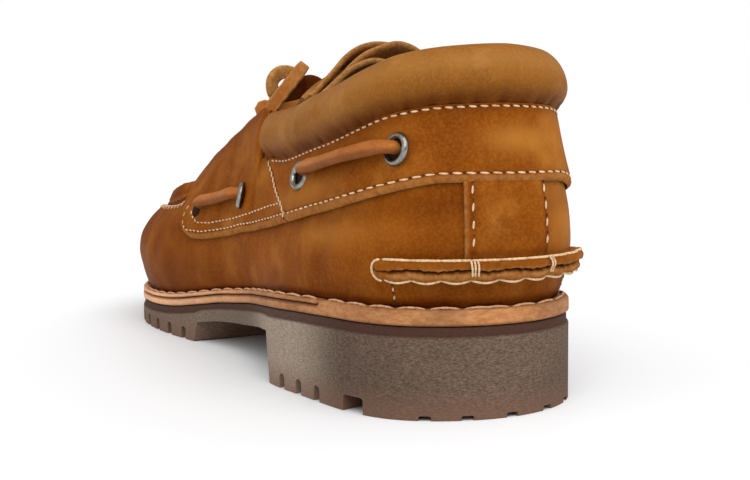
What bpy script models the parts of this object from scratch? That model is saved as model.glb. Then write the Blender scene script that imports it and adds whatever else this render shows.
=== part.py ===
"""Left lug-sole boat shoe with a hand-sewn moccasin toe, a padded collar and rawhide side lacing.

Built in metres, +Z up, +Y from the heel to the toe, +X the wearer's right (the inner side of the foot).
Tables are in millimetres. The ring of sections starts at the back of the heel and runs round the outer side,
the toe and the inner side.
"""
import math

import bmesh
import bpy
import numpy as np
from mathutils import Matrix, Vector

MM = 0.001
GAP = 0.3
MIDSOLE_THICK = 5.2
WELT_THICK = 1.5
WELT_START = 46.0
WALL = 2.2
OVERLAY = 1.6
LIFT = 0.5
LUG_DEPTH = 5.0
GROOVE = 4.0
LACE = 4.6
EYELET_R = 4.1
EYELET_WIRE = 1.15

# Sole edge (x, y), top of the rubber, then inset from the sole edge and height of four lines up the upper.
# Columns: name, x, y, rubber, foot_in, belly_in, belly_z, side_in, side_z, edge_in, edge_z.
RING = (
    ("heel_back", 3.0, 0.0, 27.5, 3.5, -1.1, 52.0, 1.6, 75.0, 4.2, 92.4),
    ("heel_l1", -16.0, 4.4, 27.5, 3.5, -1.1, 52.0, 2.0, 75.0, 5.1, 91.6),
    ("heel_l2", -29.5, 14.5, 27.5, 3.5, -0.6, 51.0, 3.1, 73.0, 6.9, 89.3),
    ("heel_l3", -38.0, 33.0, 27.4, 3.5, 0.8, 50.0, 4.8, 70.0, 9.5, 84.6),
    ("side_l1", -41.8, 56.0, 26.6, 3.7, 2.7, 48.0, 7.0, 66.0, 11.3, 80.0),
    ("side_l2", -44.8, 80.0, 25.5, 4.6, 5.1, 45.0, 9.2, 62.0, 13.5, 76.4),
    ("side_l3", -42.5, 100.0, 23.6, 3.6, 3.3, 42.0, 7.0, 60.0, 11.3, 74.4),
    ("front_l0", -40.4, 118.0, 21.7, 3.4, 1.5, 40.0, 5.4, 59.0, 9.9, 74.0),
    ("front_l1", -40.0, 122.0, 21.2, 3.3, 0.9, 39.5, 4.4, 66.0, 11.0, 92.6),
    ("throat_l1", -40.0, 135.0, 19.6, 3.2, 0.2, 37.5, 4.2, 64.0, 11.5, 89.6),
    ("throat_l2", -41.6, 150.0, 17.9, 3.0, -0.4, 36.0, 4.4, 61.0, 13.0, 84.6),
    ("ball_l1", -45.8, 170.0, 14.9, 3.0, -0.8, 34.0, 4.8, 56.0, 16.0, 77.0),
    ("ball_l2", -49.8, 190.0, 12.1, 3.0, -0.9, 32.5, 4.4, 50.5, 17.6, 68.0),
    ("ball_l3", -51.4, 201.0, 11.1, 3.0, -0.9, 31.5, 3.4, 47.0, 15.0, 60.0),
    ("ball_l4", -52.5, 216.0, 10.3, 3.0, -0.9, 31.0, 2.5, 44.5, 12.6, 56.0),
    ("toe_l1", -50.8, 240.0, 9.8, 3.0, -0.9, 30.0, 2.0, 42.5, 12.0, 53.0),
    ("toe_l2", -43.4, 262.0, 10.2, 3.0, -0.9, 29.5, 2.0, 41.0, 12.0, 50.8),
    ("toe_l3", -27.0, 284.0, 11.2, 3.0, -0.9, 29.0, 2.2, 39.8, 13.0, 48.6),
    ("toe_tip", 2.0, 298.6, 12.4, 3.0, -0.9, 28.5, 2.5, 39.0, 14.0, 47.2),
    ("toe_m3", 29.5, 288.0, 11.6, 3.0, -0.9, 29.0, 2.2, 39.8, 13.0, 48.6),
    ("toe_m2", 44.5, 268.0, 10.4, 3.0, -0.9, 29.5, 2.0, 41.0, 12.0, 50.8),
    ("toe_m1", 51.0, 244.0, 9.8, 3.0, -0.9, 30.0, 2.0, 42.5, 12.5, 53.4),
    ("ball_m4", 52.3, 218.0, 10.3, 3.0, -0.9, 31.5, 2.4, 45.0, 14.0, 56.4),
    ("ball_m3", 50.0, 203.0, 11.0, 3.0, -1.0, 32.5, 2.8, 48.5, 15.0, 60.6),
    ("ball_m2", 46.6, 190.0, 12.1, 3.0, -1.2, 34.0, 3.0, 52.0, 15.4, 68.6),
    ("ball_m1", 40.6, 170.0, 14.9, 3.0, -1.6, 36.5, 2.4, 57.0, 12.6, 77.4),
    ("throat_m2", 35.4, 150.0, 17.9, 3.0, -1.8, 39.0, 0.8, 61.5, 9.0, 84.8),
    ("throat_m1", 33.8, 135.0, 19.6, 3.0, -1.7, 41.0, 0.9, 64.5, 7.6, 89.8),
    ("front_m1", 33.8, 122.0, 21.2, 3.0, -1.4, 43.5, 1.5, 67.0, 7.2, 92.8),
    ("front_m0", 34.0, 118.0, 21.7, 3.0, -1.0, 44.0, 2.2, 61.0, 5.5, 75.2),
    ("side_m3", 35.6, 100.0, 23.6, 3.0, -0.1, 46.0, 3.0, 62.0, 6.3, 76.0),
    ("side_m2", 38.6, 80.0, 25.5, 3.2, 1.3, 48.0, 4.4, 64.0, 8.3, 77.6),
    ("side_m1", 39.8, 56.0, 26.6, 3.5, 0.9, 49.0, 4.6, 67.0, 9.5, 81.2),
    ("heel_m3", 38.2, 33.0, 27.4, 3.5, 0.6, 50.0, 4.0, 71.0, 8.5, 85.4),
    ("heel_m2", 32.0, 14.5, 27.5, 3.5, -0.6, 51.0, 2.8, 73.0, 6.7, 89.7),
    ("heel_m1", 20.5, 4.4, 27.5, 3.5, -1.1, 52.0, 2.0, 75.0, 5.1, 91.8),
)
LEVELS = (0.0, 0.33, 0.68, 1.0)

# Underside of the sole along its length: y, height of the rubber above the floor.
UNDERSIDE = (
    (0.0, 0.0), (81.0, 0.0), (84.5, 17.4), (96.0, 16.6), (112.0, 14.6), (125.0, 13.0), (140.0, 11.8),
    (154.0, 10.4), (169.0, 8.2), (171.8, 0.4), (176.0, 0.0), (232.0, 0.0), (250.0, 0.5), (270.0, 1.8),
    (285.0, 3.2), (299.0, 4.8),
)

# Saddle and band: ring position and height fraction of the lower edge, ring position of the upper edge.
# Positions are arc lengths from the back of the heel, the same on both sides.
SADDLE = (
    (209.6, 0.80, 219.5), (208.4, 0.72, 217.6), (207.0, 0.645, 214.0), (204.6, 0.585, 209.0),
    (200.4, 0.530, 203.0), (194.2, 0.485, 197.0), (185.6, 0.458, 189.0), (174.0, 0.452, 179.0),
    (162.0, 0.453, 170.0), (150.0, 0.458, 161.0), (139.0, 0.478, 154.0), (132.0, 0.492, 150.4),
    (126.5, 0.502, 148.2), (121.8, 0.507, 146.7), (117.4, 0.510, 145.4), (113.2, 0.512, 143.8),
    (108.4, 0.512, 141.4),
)
BAND = (
    (107.4, 0.512, 140.4), (101.0, 0.512, 132.0), (91.0, 0.512, 116.0), (79.0, 0.518, 98.0),
    (69.0, 0.522, 82.0), (59.0, 0.530, 68.0), (49.5, 0.548, 55.0), (41.0, 0.566, 44.0),
    (33.0, 0.580, 34.5), (24.0, 0.590, 25.0), (15.0, 0.594, 15.5), (7.5, 0.595, 7.5), (0.0, 0.595, 0.0),
)

# Padded collar: ring position, height over the seam, thickness.
COLLAR = (
    (137.6, 16.8, 8.4), (128.0, 17.4, 9.2), (110.0, 17.6, 9.6), (90.0, 17.7, 9.8), (70.0, 17.8, 10.0),
    (56.0, 17.8, 10.0), (44.0, 17.2, 10.0), (34.0, 16.8, 10.0), (24.0, 16.6, 10.0), (12.0, 16.8, 10.0),
    (0.0, 17.0, 10.0),
)
# Section of the collar: across (share of its thickness, outwards negative), up (share of its height).
COLLAR_SECTION = (
    (-0.34, 0.02), (-0.50, 0.17), (-0.59, 0.38), (-0.52, 0.62), (-0.31, 0.85), (-0.02, 0.985), (0.27, 0.96),
    (0.50, 0.80), (0.60, 0.55), (0.60, 0.25), (0.50, 0.02),
)

# Tongue, from under the plug to its free top: y, height of the middle, half width, drop at its edge.
TONGUE = (
    (212.0, 64.6, 20.0, 3.4), (205.0, 66.9, 21.0, 3.7), (198.0, 68.6, 22.0, 4.2), (190.0, 70.4, 23.0, 5.2),
    (178.0, 74.8, 24.0, 7.4),
    (164.0, 81.4, 24.4, 9.0), (150.0, 87.4, 24.8, 10.0), (136.0, 92.6, 25.0, 10.6), (122.0, 97.2, 25.0, 11.0),
    (108.0, 102.6, 25.4, 11.2), (95.0, 108.4, 25.6, 11.6), (84.0, 113.6, 25.6, 12.4), (77.0, 116.6, 22.5, 11.4),
)

# Lace over the throat: a bar in front and a cross behind it. Side of the foot (outer -1), y at the side, y at
# the middle, y at the other side, and how far the middle lies above the tongue.
CROSSINGS = ((-1, 178.0, 176.0, 178.0, 1.0), (-1, 174.2, 158.0, 141.8, 1.0), (1, 174.2, 158.0, 141.8, 2.9))
KNOT = (-1.0, 150.0, 97.9)
LACE_R = 2.2
BOW_OUTER = (
    (-4.7, 148.6, 99.5), (-8.6, 147.0, 102.7), (-14.6, 145.0, 106.7), (-21.0, 143.2, 108.3),
    (-25.6, 141.8, 104.9), (-26.0, 141.2, 99.1), (-22.4, 141.8, 95.5), (-15.8, 143.6, 94.7), (-9.6, 146.2, 95.1),
    (-4.9, 148.4, 95.9),
)
BOW_INNER = (
    (2.2, 150.4, 98.8), (9.0, 152.0, 101.7), (17.0, 154.6, 101.9), (24.0, 156.6, 99.1), (27.6, 156.8, 94.9),
    (25.6, 154.0, 92.1), (18.6, 151.4, 92.9), (10.6, 150.2, 94.5), (2.4, 150.0, 96.1),
)
END_OUTER = (
    (-2.4, 144.9, 97.6), (-8.6, 140.6, 95.3), (-16.0, 137.4, 93.9), (-22.6, 135.8, 93.7), (-25.2, 135.2, 95.9),
    (-22.4, 135.4, 99.5), (-17.8, 135.8, 103.9), (-12.8, 136.2, 108.1), (-8.6, 136.6, 111.5),
)
END_INNER = (
    (0.4, 155.4, 97.1), (8.0, 158.6, 94.9), (17.0, 161.8, 91.9), (26.0, 164.4, 87.7), (33.4, 166.0, 81.9),
    (37.8, 167.0, 74.7),
)

# Eyelets and the end of the front lace: ring position on the outer and on the inner side, height fraction.
EYELETS = (
    ("rear", 33.6, 54.0, 0.77), ("mid", 91.5, 100.0, 0.785), ("saddle", 150.3, 150.3, 0.63),
    ("front", 192.4, 192.4, 0.61),
)

LOOSE = ("lace_knot", "bow_loop_lateral", "bow_loop_medial", "lace_end_lateral", "lace_end_medial")


def periodic_slopes(knots, values, period):
    """Slopes of a smooth closed curve through the values."""
    count = len(knots)
    steps = np.diff(np.append(knots, knots[0] + period))
    matrix = np.zeros((count, count))
    right = np.zeros((count, values.shape[1]))
    for i in range(count):
        before = steps[i - 1]
        after = steps[i]
        following = (i + 1) % count
        matrix[i, i - 1] += 1 / before
        matrix[i, i] += 2 * (1 / before + 1 / after)
        matrix[i, following] += 1 / after
        right[i] = 3 * ((values[i] - values[i - 1]) / before**2 + (values[following] - values[i]) / after**2)
    return np.linalg.solve(matrix, right)


def level_slopes(knots, values, period):
    """Slopes that never overshoot the table's own values."""
    steps = np.diff(np.append(knots, knots[0] + period))[:, None]
    after = (np.roll(values, -1, 0) - values) / steps
    before = np.roll(after, 1, 0)
    back = np.roll(steps, 1, 0)
    near = 2 * steps + back
    far = steps + 2 * back
    safe_before = np.where(before == 0, 1e-9, before)
    safe_after = np.where(after == 0, 1e-9, after)
    mean = near / safe_before + far / safe_after
    return np.where(after * before > 0, (near + far) / np.where(mean == 0, 1e-9, mean), 0)


TABLE = np.array([row[1:] for row in RING], float)
KNOTS = np.append(0, np.cumsum(np.hypot(*np.diff(TABLE[:, :2], axis=0).T)))
AROUND = KNOTS[-1] + float(np.hypot(*(TABLE[0, :2] - TABLE[-1, :2])))
SLOPES = np.hstack([periodic_slopes(KNOTS, TABLE[:, :2], AROUND), level_slopes(KNOTS, TABLE[:, 2:], AROUND)])


def ring_row(at):
    """Every column of the ring table at arc positions round the sole edge."""
    at = np.mod(np.atleast_1d(np.asarray(at, float)), AROUND)
    first = np.searchsorted(KNOTS, at, side="right") - 1
    second = (first + 1) % len(KNOTS)
    end = np.where(second == 0, AROUND, KNOTS[second])
    step = (end - KNOTS[first])[:, None]
    u = (at - KNOTS[first])[:, None] / step
    low, high = TABLE[first], TABLE[second]
    leave, arrive = SLOPES[first], SLOPES[second]
    return (
        low * (1 + 2 * u) * (1 - u) ** 2
        + high * u * u * (3 - 2 * u)
        + step * leave * u * (1 - u) ** 2
        + step * arrive * u * u * (u - 1)
    )


def inward(at):
    """Unit normals into the sole at arc positions."""
    at = np.atleast_1d(np.asarray(at, float))
    along = ring_row(at + 0.5)[:, :2] - ring_row(at - 0.5)[:, :2]
    along /= np.hypot(along[:, 0], along[:, 1])[:, None]
    return np.column_stack([along[:, 1], -along[:, 0]])


def through_levels(share, four):
    """A natural cubic up the four lines of the section."""
    knots = np.array(LEVELS)
    steps = np.diff(knots)
    matrix = np.array([[2 * (steps[0] + steps[1]), steps[1]], [steps[1], 2 * (steps[1] + steps[2])]])
    bend = 6 * np.diff(np.diff(four, axis=1) / steps, axis=1)
    curve = np.zeros_like(four)
    curve[:, 1:3] = np.linalg.solve(matrix, bend.T).T
    span = np.clip(np.searchsorted(knots, share, side="right") - 1, 0, 2)
    rows = np.arange(len(four))
    step = steps[span]
    a = (knots[span + 1] - share) / step
    b = (share - knots[span]) / step
    lower = (a**3 - a) * curve[rows, span]
    upper = (b**3 - b) * curve[rows, span + 1]
    return a * four[rows, span] + b * four[rows, span + 1] + (lower + upper) * step * step / 6


def skin(at, share, off=0.0):
    """Points on the outside of the upper, moved out by off."""
    at = np.atleast_1d(np.asarray(at, float))
    share = np.broadcast_to(np.asarray(share, float), at.shape)
    off = np.broadcast_to(np.asarray(off, float), at.shape)
    row = ring_row(at)
    normal = inward(at)
    inset = through_levels(share, row[:, [3, 4, 6, 8]])
    foot = row[:, 2] + MIDSOLE_THICK + GAP
    height = through_levels(share, np.column_stack([foot, row[:, 5], row[:, 7], row[:, 9]]))
    points = np.column_stack([row[:, :2] + normal * inset[:, None], height])
    if not np.any(off):
        return points
    up = skin(at, np.clip(share + 0.01, 0, 1)) - skin(at, np.clip(share - 0.01, 0, 1))
    along = skin(at + 1.0, share) - skin(at - 1.0, share)
    out = np.cross(along, up)
    out /= np.linalg.norm(out, axis=1)[:, None]
    turned = -(out[:, :2] * normal).sum(axis=1) + 0.3 * out[:, 2]
    out *= np.where(turned < 0, -1, 1)[:, None]
    return points + out * off[:, None]


def arc_at(y, inner):
    """Arc position of the sole edge at a distance y from the heel."""
    if inner:
        arcs = np.linspace(AROUND, 349.0, 900)
    else:
        arcs = np.linspace(0, 349.0, 900)
    return float(np.interp(y, ring_row(arcs)[:, 1], arcs))


def material(name, color, roughness, metallic=0.0):
    found = bpy.data.materials.new(name)
    found.use_nodes = True
    shader = found.node_tree.nodes["Principled BSDF"]
    shader.inputs["Base Color"].default_value = (*color, 1)
    shader.inputs["Roughness"].default_value = roughness
    shader.inputs["Metallic"].default_value = metallic
    found.diffuse_color = (*color, 1)
    return found


def collection(name, parent, hidden=False):
    made = bpy.data.collections.new(name)
    parent.children.link(made)
    made.hide_render = hidden
    return made


def solid(name, points, faces, slot, group):
    """One closed mesh from points in millimetres, its faces turned outwards."""
    mesh = bpy.data.meshes.new(name)
    made = bmesh.new()
    corners = [made.verts.new(Vector(point) * MM) for point in points]
    for face in faces:
        made.faces.new([corners[i] for i in face])
    bmesh.ops.recalc_face_normals(made, faces=made.faces)
    if made.calc_volume(signed=True) < 0:
        bmesh.ops.reverse_faces(made, faces=made.faces)
    made.to_mesh(mesh)
    made.free()
    found = bpy.data.objects.new(name, mesh)
    if slot:
        mesh.materials.append(slot)
    group.objects.link(found)
    return found


def sheet(name, outer, inner, slot, group, loop=False):
    """A wall between two grids of points (rows, columns, 3), closed round its rims."""
    rows, columns = outer.shape[:2]
    points = list(outer.reshape(-1, 3)) + list(inner.reshape(-1, 3))
    half = rows * columns
    faces = []
    span = columns if loop else columns - 1
    for j in range(rows - 1):
        for i in range(span):
            a = j * columns + i
            b = j * columns + (i + 1) % columns
            faces.append((a, b, b + columns, a + columns))
            faces.append((half + a + columns, half + b + columns, half + b, half + a))
    for i in range(span):
        a = i
        b = (i + 1) % columns
        faces.append((half + a, half + b, b, a))
        top_a = (rows - 1) * columns + a
        top_b = (rows - 1) * columns + b
        faces.append((top_a, top_b, half + top_b, half + top_a))
    if not loop:
        for j in range(rows - 1):
            for i in (0, columns - 1):
                a = j * columns + i
                b = a + columns
                faces.append((a, b, half + b, half + a))
    return solid(name, points, faces, slot, group)


def tube(name, sections, slot, group):
    """A solid through matching sections (count, corners, 3), with flat ends."""
    count, corners = sections.shape[:2]
    points = list(sections.reshape(-1, 3))
    faces = []
    for j in range(count - 1):
        for i in range(corners):
            a = j * corners + i
            b = j * corners + (i + 1) % corners
            faces.append((a, b, b + corners, a + corners))
    faces.append(tuple(range(corners)))
    faces.append(tuple((count - 1) * corners + i for i in range(corners)))
    return solid(name, points, faces, slot, group)


def plate(name, stations, profile, slot, group):
    """A solid on the sole's outline: profile gives (inset, height) pairs for each station from bottom to top."""
    outer = [arc_at(y, False) for y in stations]
    inner = [arc_at(y, True) for y in stations]
    arcs = [0.0] + outer + [348.8] + inner[::-1]
    lengths = [0.0] + list(stations) + [298.6] + list(stations)[::-1]
    arcs = np.array(arcs)
    rings = []
    levels = len(profile(0.0))
    for level in range(levels):
        pairs = np.array([profile(y)[level] for y in lengths])
        flat = ring_row(arcs)[:, :2] + inward(arcs) * pairs[:, :1]
        rings.append(np.column_stack([flat, pairs[:, 1]]))
    points = [point for ring in rings for point in ring]
    count = len(arcs)
    middle = len(stations)
    faces = []
    for level in range(levels - 1):
        for i in range(count):
            a = level * count + i
            b = level * count + (i + 1) % count
            faces.append((a, b, b + count, a + count))
    for base in (0, (levels - 1) * count):
        faces.append((base, base + 1, base + count - 1))
        for k in range(1, middle):
            faces.append((base + k, base + k + 1, base + count - k - 1, base + count - k))
        faces.append((base + middle, base + middle + 1, base + middle + 2))
    return solid(name, points, faces, slot, group)


def box(name, centre, size, turn, group):
    """A cutter box, its centre and size in millimetres, turned about the vertical."""
    mesh = bpy.data.meshes.new(name)
    made = bmesh.new()
    bmesh.ops.create_cube(made, size=1)
    place = Matrix.Translation(Vector(centre) * MM) @ Matrix.Rotation(turn, 4, "Z")
    place = place @ Matrix.Diagonal((size[0] * MM, size[1] * MM, size[2] * MM, 1))
    bmesh.ops.transform(made, matrix=place, verts=made.verts)
    made.to_mesh(mesh)
    made.free()
    found = bpy.data.objects.new(name, mesh)
    found.display_type = "WIRE"
    group.objects.link(found)
    return found


def underside(y):
    return float(np.interp(y, [row[0] for row in UNDERSIDE], [row[1] for row in UNDERSIDE]))


def rubber_top(y):
    return float(ring_row(arc_at(y, False))[0, 2])


def channel(name, low_y, high_y, at_heel, near, far, depth, group):
    """A U-shaped cutter that follows the sole's edge, open at the waist."""
    if at_heel:
        arcs = np.append(np.linspace(arc_at(high_y, True), AROUND, 12), np.linspace(4, arc_at(high_y, False), 11))
    else:
        arcs = np.linspace(arc_at(low_y, False), arc_at(low_y, True), 26)
    edge = ring_row(arcs)[:, :2]
    normal = inward(arcs)
    sections = []
    for i in range(len(arcs)):
        top = depth + underside(edge[i, 1])
        lines = ((near, -2.0), (near, top), (far, top), (far, -2.0))
        sections.append([[*(edge[i] + normal[i] * inset), z] for inset, z in lines])
    found = tube(name, np.array(sections), None, group)
    found.display_type = "WIRE"
    return found


def side_grooves(group):
    """The slots between the edge lugs of the heel and the forefoot, on both sides."""
    slots = [(y, GROOVE, 17.0) for y in (181.0, 194.5, 208.0, 221.5, 235.0, 248.5, 262.0)]
    slots += [(70.3, 3.4, 14.0), (59.3, 3.4, 14.0), (47.6, 3.4, 14.0), (28.0, 9.0, 14.0)]
    for inner in (False, True):
        side = "inner" if inner else "outer"
        for i, (y, width, reach) in enumerate(slots):
            arc = np.array([arc_at(y, inner)])
            edge = ring_row(arc)[0, :2]
            normal = inward(arc)[0]
            turn = math.atan2(normal[1], normal[0])
            centre = edge + normal * (reach / 2 - 2.0)
            high = LUG_DEPTH + underside(y)
            size = (reach + 4.0, width, high + 2.0)
            box(f"slot_{side}_{i}", (*centre, high / 2 - 1.0), size, turn, group)
    for i, arc in enumerate((-38.0, -26.5, -14.0, 0.0, 14.0, 26.5)):
        edge = ring_row(arc)[0, :2]
        normal = inward(arc)[0]
        turn = math.atan2(normal[1], normal[0])
        box(f"nick_{i}", (*(edge + normal), 0.0), (6.0, 3.8, 2.8), turn, group)
    for i, arc in enumerate((320.0, 348.8, 377.0)):
        edge = ring_row(arc)[0]
        normal = inward(arc)[0]
        turn = math.atan2(normal[1], normal[0])
        high = LUG_DEPTH + underside(edge[1])
        box(f"toe_slot_{i}", (*(edge[:2] + normal * 6.5), high / 2 - 1), (21.0, GROOVE, high + 2), turn, group)


def centre_grooves(group):
    """The slots that part the middle of the tread into blocks."""
    for i, y in enumerate((188.0, 201.5, 215.0, 228.5, 242.0, 255.5, 269.0)):
        high = LUG_DEPTH + underside(y)
        turn = 0.30 if i % 2 else -0.30
        box(f"mid_slot_{i}", (1.0, y, high / 2 - 1), (74.0 - 4.5 * abs(i - 2.5), GROOVE, high + 2), turn, group)
    for i, y in enumerate((22.0, 36.0, 50.0, 64.0)):
        box(f"heel_slot_{i}", (-1.0, y, LUG_DEPTH / 2 - 1), (46.0, 3.4, LUG_DEPTH + 2), 0.0, group)


def sole_stations():
    ends = [0.6, 2.2, 5.0, 9.0, 14.5, 21.0, 29.0]
    body = [38.0, 49.0, 61.0, 72.0, 81.0, 84.5, 96.0, 112.0, 125.0, 140.0, 154.0, 169.0, 171.8, 182.0, 194.0]
    toes = [206.0, 218.0, 230.0, 241.0, 251.0, 260.0, 268.0, 275.5, 282.0, 287.5, 292.0, 295.5, 297.7]
    return ends + body + toes


def outsole(slot, group, cutters):
    """The rubber unit: a high heel block, a thin waist and a lugged forefoot with toe spring."""

    def profile(y):
        low = underside(y)
        top = rubber_top(y)
        band = min(3.2, (top - low) * 0.35)
        return ((0.5, low), (0.0, low + 0.8), (0.0, top - band), (0.7, top - band + 0.5), (0.7, top))

    found = plate("outsole", sole_stations(), profile, slot, group)
    lugs = collection("tread_cutters", cutters)
    side_grooves(lugs)
    centre_grooves(lugs)
    channel("fore_channel", 176.0, 0.0, False, 15.0, 18.6, LUG_DEPTH, lugs)
    channel("heel_channel", 0.0, 79.0, True, 12.0, 15.2, LUG_DEPTH, lugs)
    cut = found.modifiers.new("tread", "BOOLEAN")
    cut.operation = "DIFFERENCE"
    cut.operand_type = "COLLECTION"
    cut.collection = lugs
    cut.solver = "EXACT"
    return found


def plain_stations():
    ends = [1.0, 4.0, 9.0, 16.0, 25.0, 36.0]
    body = [45.4, 47.0, 60.0, 75.0, 90.0, 105.0, 120.0, 135.0, 150.0, 165.0, 180.0, 195.0, 210.0, 225.0]
    toes = [239.0, 251.0, 262.0, 271.0, 279.0, 286.0, 291.5, 295.5, 297.8]
    return ends + body + toes


def midsole(slot, group):
    """The leather midsole, full height at the heel and let down by the welt's thickness in front of it."""

    def profile(y):
        low = rubber_top(y) + GAP
        heel_top = rubber_top(y) + MIDSOLE_THICK
        fore_top = heel_top - WELT_THICK - GAP
        share = np.clip((y - 45.4) / 1.6, 0, 1)
        top = heel_top * (1 - share) + fore_top * share
        return ((0.15, low), (0.0, low + 0.6), (0.0, top - 0.5), (0.3, top))

    return plate("midsole", plain_stations(), profile, slot, group)


def welt(slot, group):
    """The thin stitched strip on the midsole, from the waist round the toe."""
    arcs = np.concatenate([
        np.linspace(arc_at(WELT_START + 2.0, False), 200, 13),
        np.linspace(211, 500, 30),
        np.linspace(510, arc_at(WELT_START + 2.0, True), 12),
    ])
    row = ring_row(arcs)
    normal = inward(arcs)
    sections = []
    for i in range(len(arcs)):
        high = row[i, 2] + MIDSOLE_THICK
        low = high - WELT_THICK
        lines = ((0.4, low), (0.3, high - 0.4), (0.8, high), (9.0, high), (9.0, low))
        sections.append([[*(row[i, :2] + normal[i] * inset), z] for inset, z in lines])
    return tube("welt", np.array(sections), slot, group)


def upper(slot, group):
    """The vamp and quarters: one hollow wall, open underneath, at the collar, the throat and the toe seam."""
    arcs = []
    for i, knot in enumerate(KNOTS):
        end = AROUND if i + 1 == len(KNOTS) else KNOTS[i + 1]
        fine = 1.4 if end - knot < 5 else 4.5 if 140 < knot < 225 or 465 < knot < 560 else 9.0
        parts = max(1, int(round((end - knot) / fine)))
        arcs += list(knot + (end - knot) * np.arange(parts) / parts)
    arcs = np.array(arcs)
    shares = (0.0, 0.11, 0.25, 0.4, 0.55, 0.7, 0.85, 1.0)
    outer = np.array([skin(arcs, share) for share in shares])
    inner = np.array([skin(arcs, share, -WALL) for share in shares])
    inner[0, :, 2] = outer[0, :, 2]
    return sheet("upper", outer, inner, slot, group, loop=True)


# Matching arc positions on the outer and the inner side, which is shorter at the waist.
OUTER_ARCS = (0.0, 142.5, 146.5, 226.5, 349.0)
INNER_ARCS = (0.0, 138.2, 142.2, 225.3, 346.0)


def side_arc(at, inner):
    """An outer-side arc position, or its match on the inner side."""
    if not inner:
        return at
    return AROUND - float(np.interp(at, OUTER_ARCS, INNER_ARCS))


def patch(name, columns, rows, inner, low_off, high_off, slot, group):
    """A leather overlay that lies on the upper: columns give its lower and upper edges."""
    shares = np.linspace(0, 1, rows)
    outer_grid = []
    inner_grid = []
    for share in shares:
        at = np.array([side_arc(low + (high - low) * share, inner) for low, _, high in columns])
        height = np.array([start + (1.0 - start) * share for _, start, _ in columns])
        edge = min(share, 1 - share) * (rows - 1)
        soft = 0.25 if edge < 0.5 else 0.0
        outer_grid.append(skin(at, height, high_off - soft))
        inner_grid.append(skin(at, height, low_off))
    return sheet(name, np.array(outer_grid), np.array(inner_grid), slot, group)


def finer(rows, parts):
    """Rows put between the rows of a table."""
    found = []
    for first, second in zip(rows[:-1], rows[1:]):
        for k in range(parts):
            found.append(tuple(a + (b - a) * k / parts for a, b in zip(first, second)))
    found.append(tuple(rows[-1]))
    return found


def band(slot, group):
    """The quarter band, from one saddle round the heel to the other."""
    outer = finer(BAND, 2)
    columns = [(side_arc(low, True), start, side_arc(high, True)) for low, start, high in outer[:-1]]
    columns = [(low - AROUND, start, high - AROUND) for low, start, high in columns] + outer[::-1]
    return patch("quarter_band", columns, 5, False, GAP + LIFT, GAP + LIFT + OVERLAY, slot, group)


def collar(slot, group):
    """The padded roll round the opening, sitting on the quarter's upper edge."""
    rows = finer(COLLAR, 2)
    full = [(side_arc(at, True) - AROUND, high, thick) for at, high, thick in rows] + rows[::-1][1:]
    sections = []
    for k, (at, high, thick) in enumerate(full):
        seam = skin(at, 1.0)[0]
        normal = inward(at)[0]
        tip = min(k, len(full) - 1 - k)
        grow = (0.86, 0.96, 1.0)[min(tip, 2)]
        ring = []
        for across, up in COLLAR_SECTION:
            flat = seam[:2] + normal * (across - 0.16) * thick * grow + normal * 0.16 * thick
            ring.append([*flat, seam[2] + GAP + 0.45 + up * high * grow])
        sections.append(ring)
    return tube("collar", np.array(sections), slot, group)


def heel_strip(slot, group):
    """The upright strip over the back seam, between the kicker and the band."""
    arcs = np.linspace(12.9, -11.3, 9)
    shares = np.linspace(0.315, 0.575, 6)
    outer = np.array([skin(arcs, share, GAP + 1.3) for share in shares])
    inner = np.array([skin(arcs, share, GAP) for share in shares])
    return sheet("heel_strip", outer, inner, slot, group)


def kicker(slot, group):
    """The raised hand-sewn roll round the heel: two leather edges with a split between them."""
    arcs = np.linspace(41.5, -40.5, 25)
    lines = (
        (-3.2, 0.3), (-3.3, 2.4), (-2.7, 3.6), (-1.3, 4.1), (-0.3, 3.7), (0.0, 2.7), (0.3, 3.7),
        (1.3, 4.2), (2.8, 3.7), (3.4, 2.4), (3.3, 0.3),
    )
    sections = []
    for k, arc in enumerate(arcs):
        middle = 44.9
        shares = np.linspace(0, 0.5, 101)
        heights = skin(np.full(101, arc), shares)[:, 2]
        end = min(k, len(arcs) - 1 - k)
        grow = (0.62, 0.9, 1.0)[min(end, 2)]
        ring = []
        for up, out in lines:
            share = float(np.interp(middle + up * grow, heights, shares))
            ring.append(skin(arc, share, GAP + (out - 0.3) * grow)[0])
        sections.append(ring)
    return tube("heel_kicker", np.array(sections), slot, group)


def plug_rows():
    """Matching seam points on the outer and inner side, from the throat to the toe."""
    shares = np.array([0, 0.1, 0.22, 0.34, 0.46, 0.57, 0.67, 0.76, 0.84, 0.91, 0.965])
    outer = 224.0 + (348.8 - 224.0) * shares
    inner = 471.5 + (348.8 - 471.5) * shares
    return shares, skin(outer, 1.0), skin(inner, 1.0)


def plug(slot, group):
    """The moccasin plug that closes the toe, its edge turned up along the hand-sewn seam."""
    shares, left, right = plug_rows()
    across = (0.0, 0.035, 0.09, 0.2, 0.35, 0.5, 0.65, 0.8, 0.91, 0.965, 1.0)
    top = []
    under = []
    for k, share in enumerate(shares):
        start = left[k]
        end = right[k]
        width = np.linalg.norm(end - start)
        unit = (end - start) / width
        start = start + unit * (GAP + 0.8)
        end = end - unit * (GAP + 0.8)
        arch = (9.5 - 4.5 * share) * min(1.0, width / 42.0)
        line = []
        for part in across:
            point = start + (end - start) * part
            round_up = 1 - (2 * part - 1) ** 2
            lip = 2.0 * max(0.0, 1 - min(part, 1 - part) / 0.06)
            back = 4.2 if share > 0.95 else 0.8 if share > 0.9 else 0.0
            line.append(point + np.array([0, -back, arch * round_up**0.85 + lip + 0.6]))
        top.append(line)
        under.append([point - np.array([0, 0, WALL]) for point in line])
    return sheet("plug", np.array(top), np.array(under), slot, group)


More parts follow.
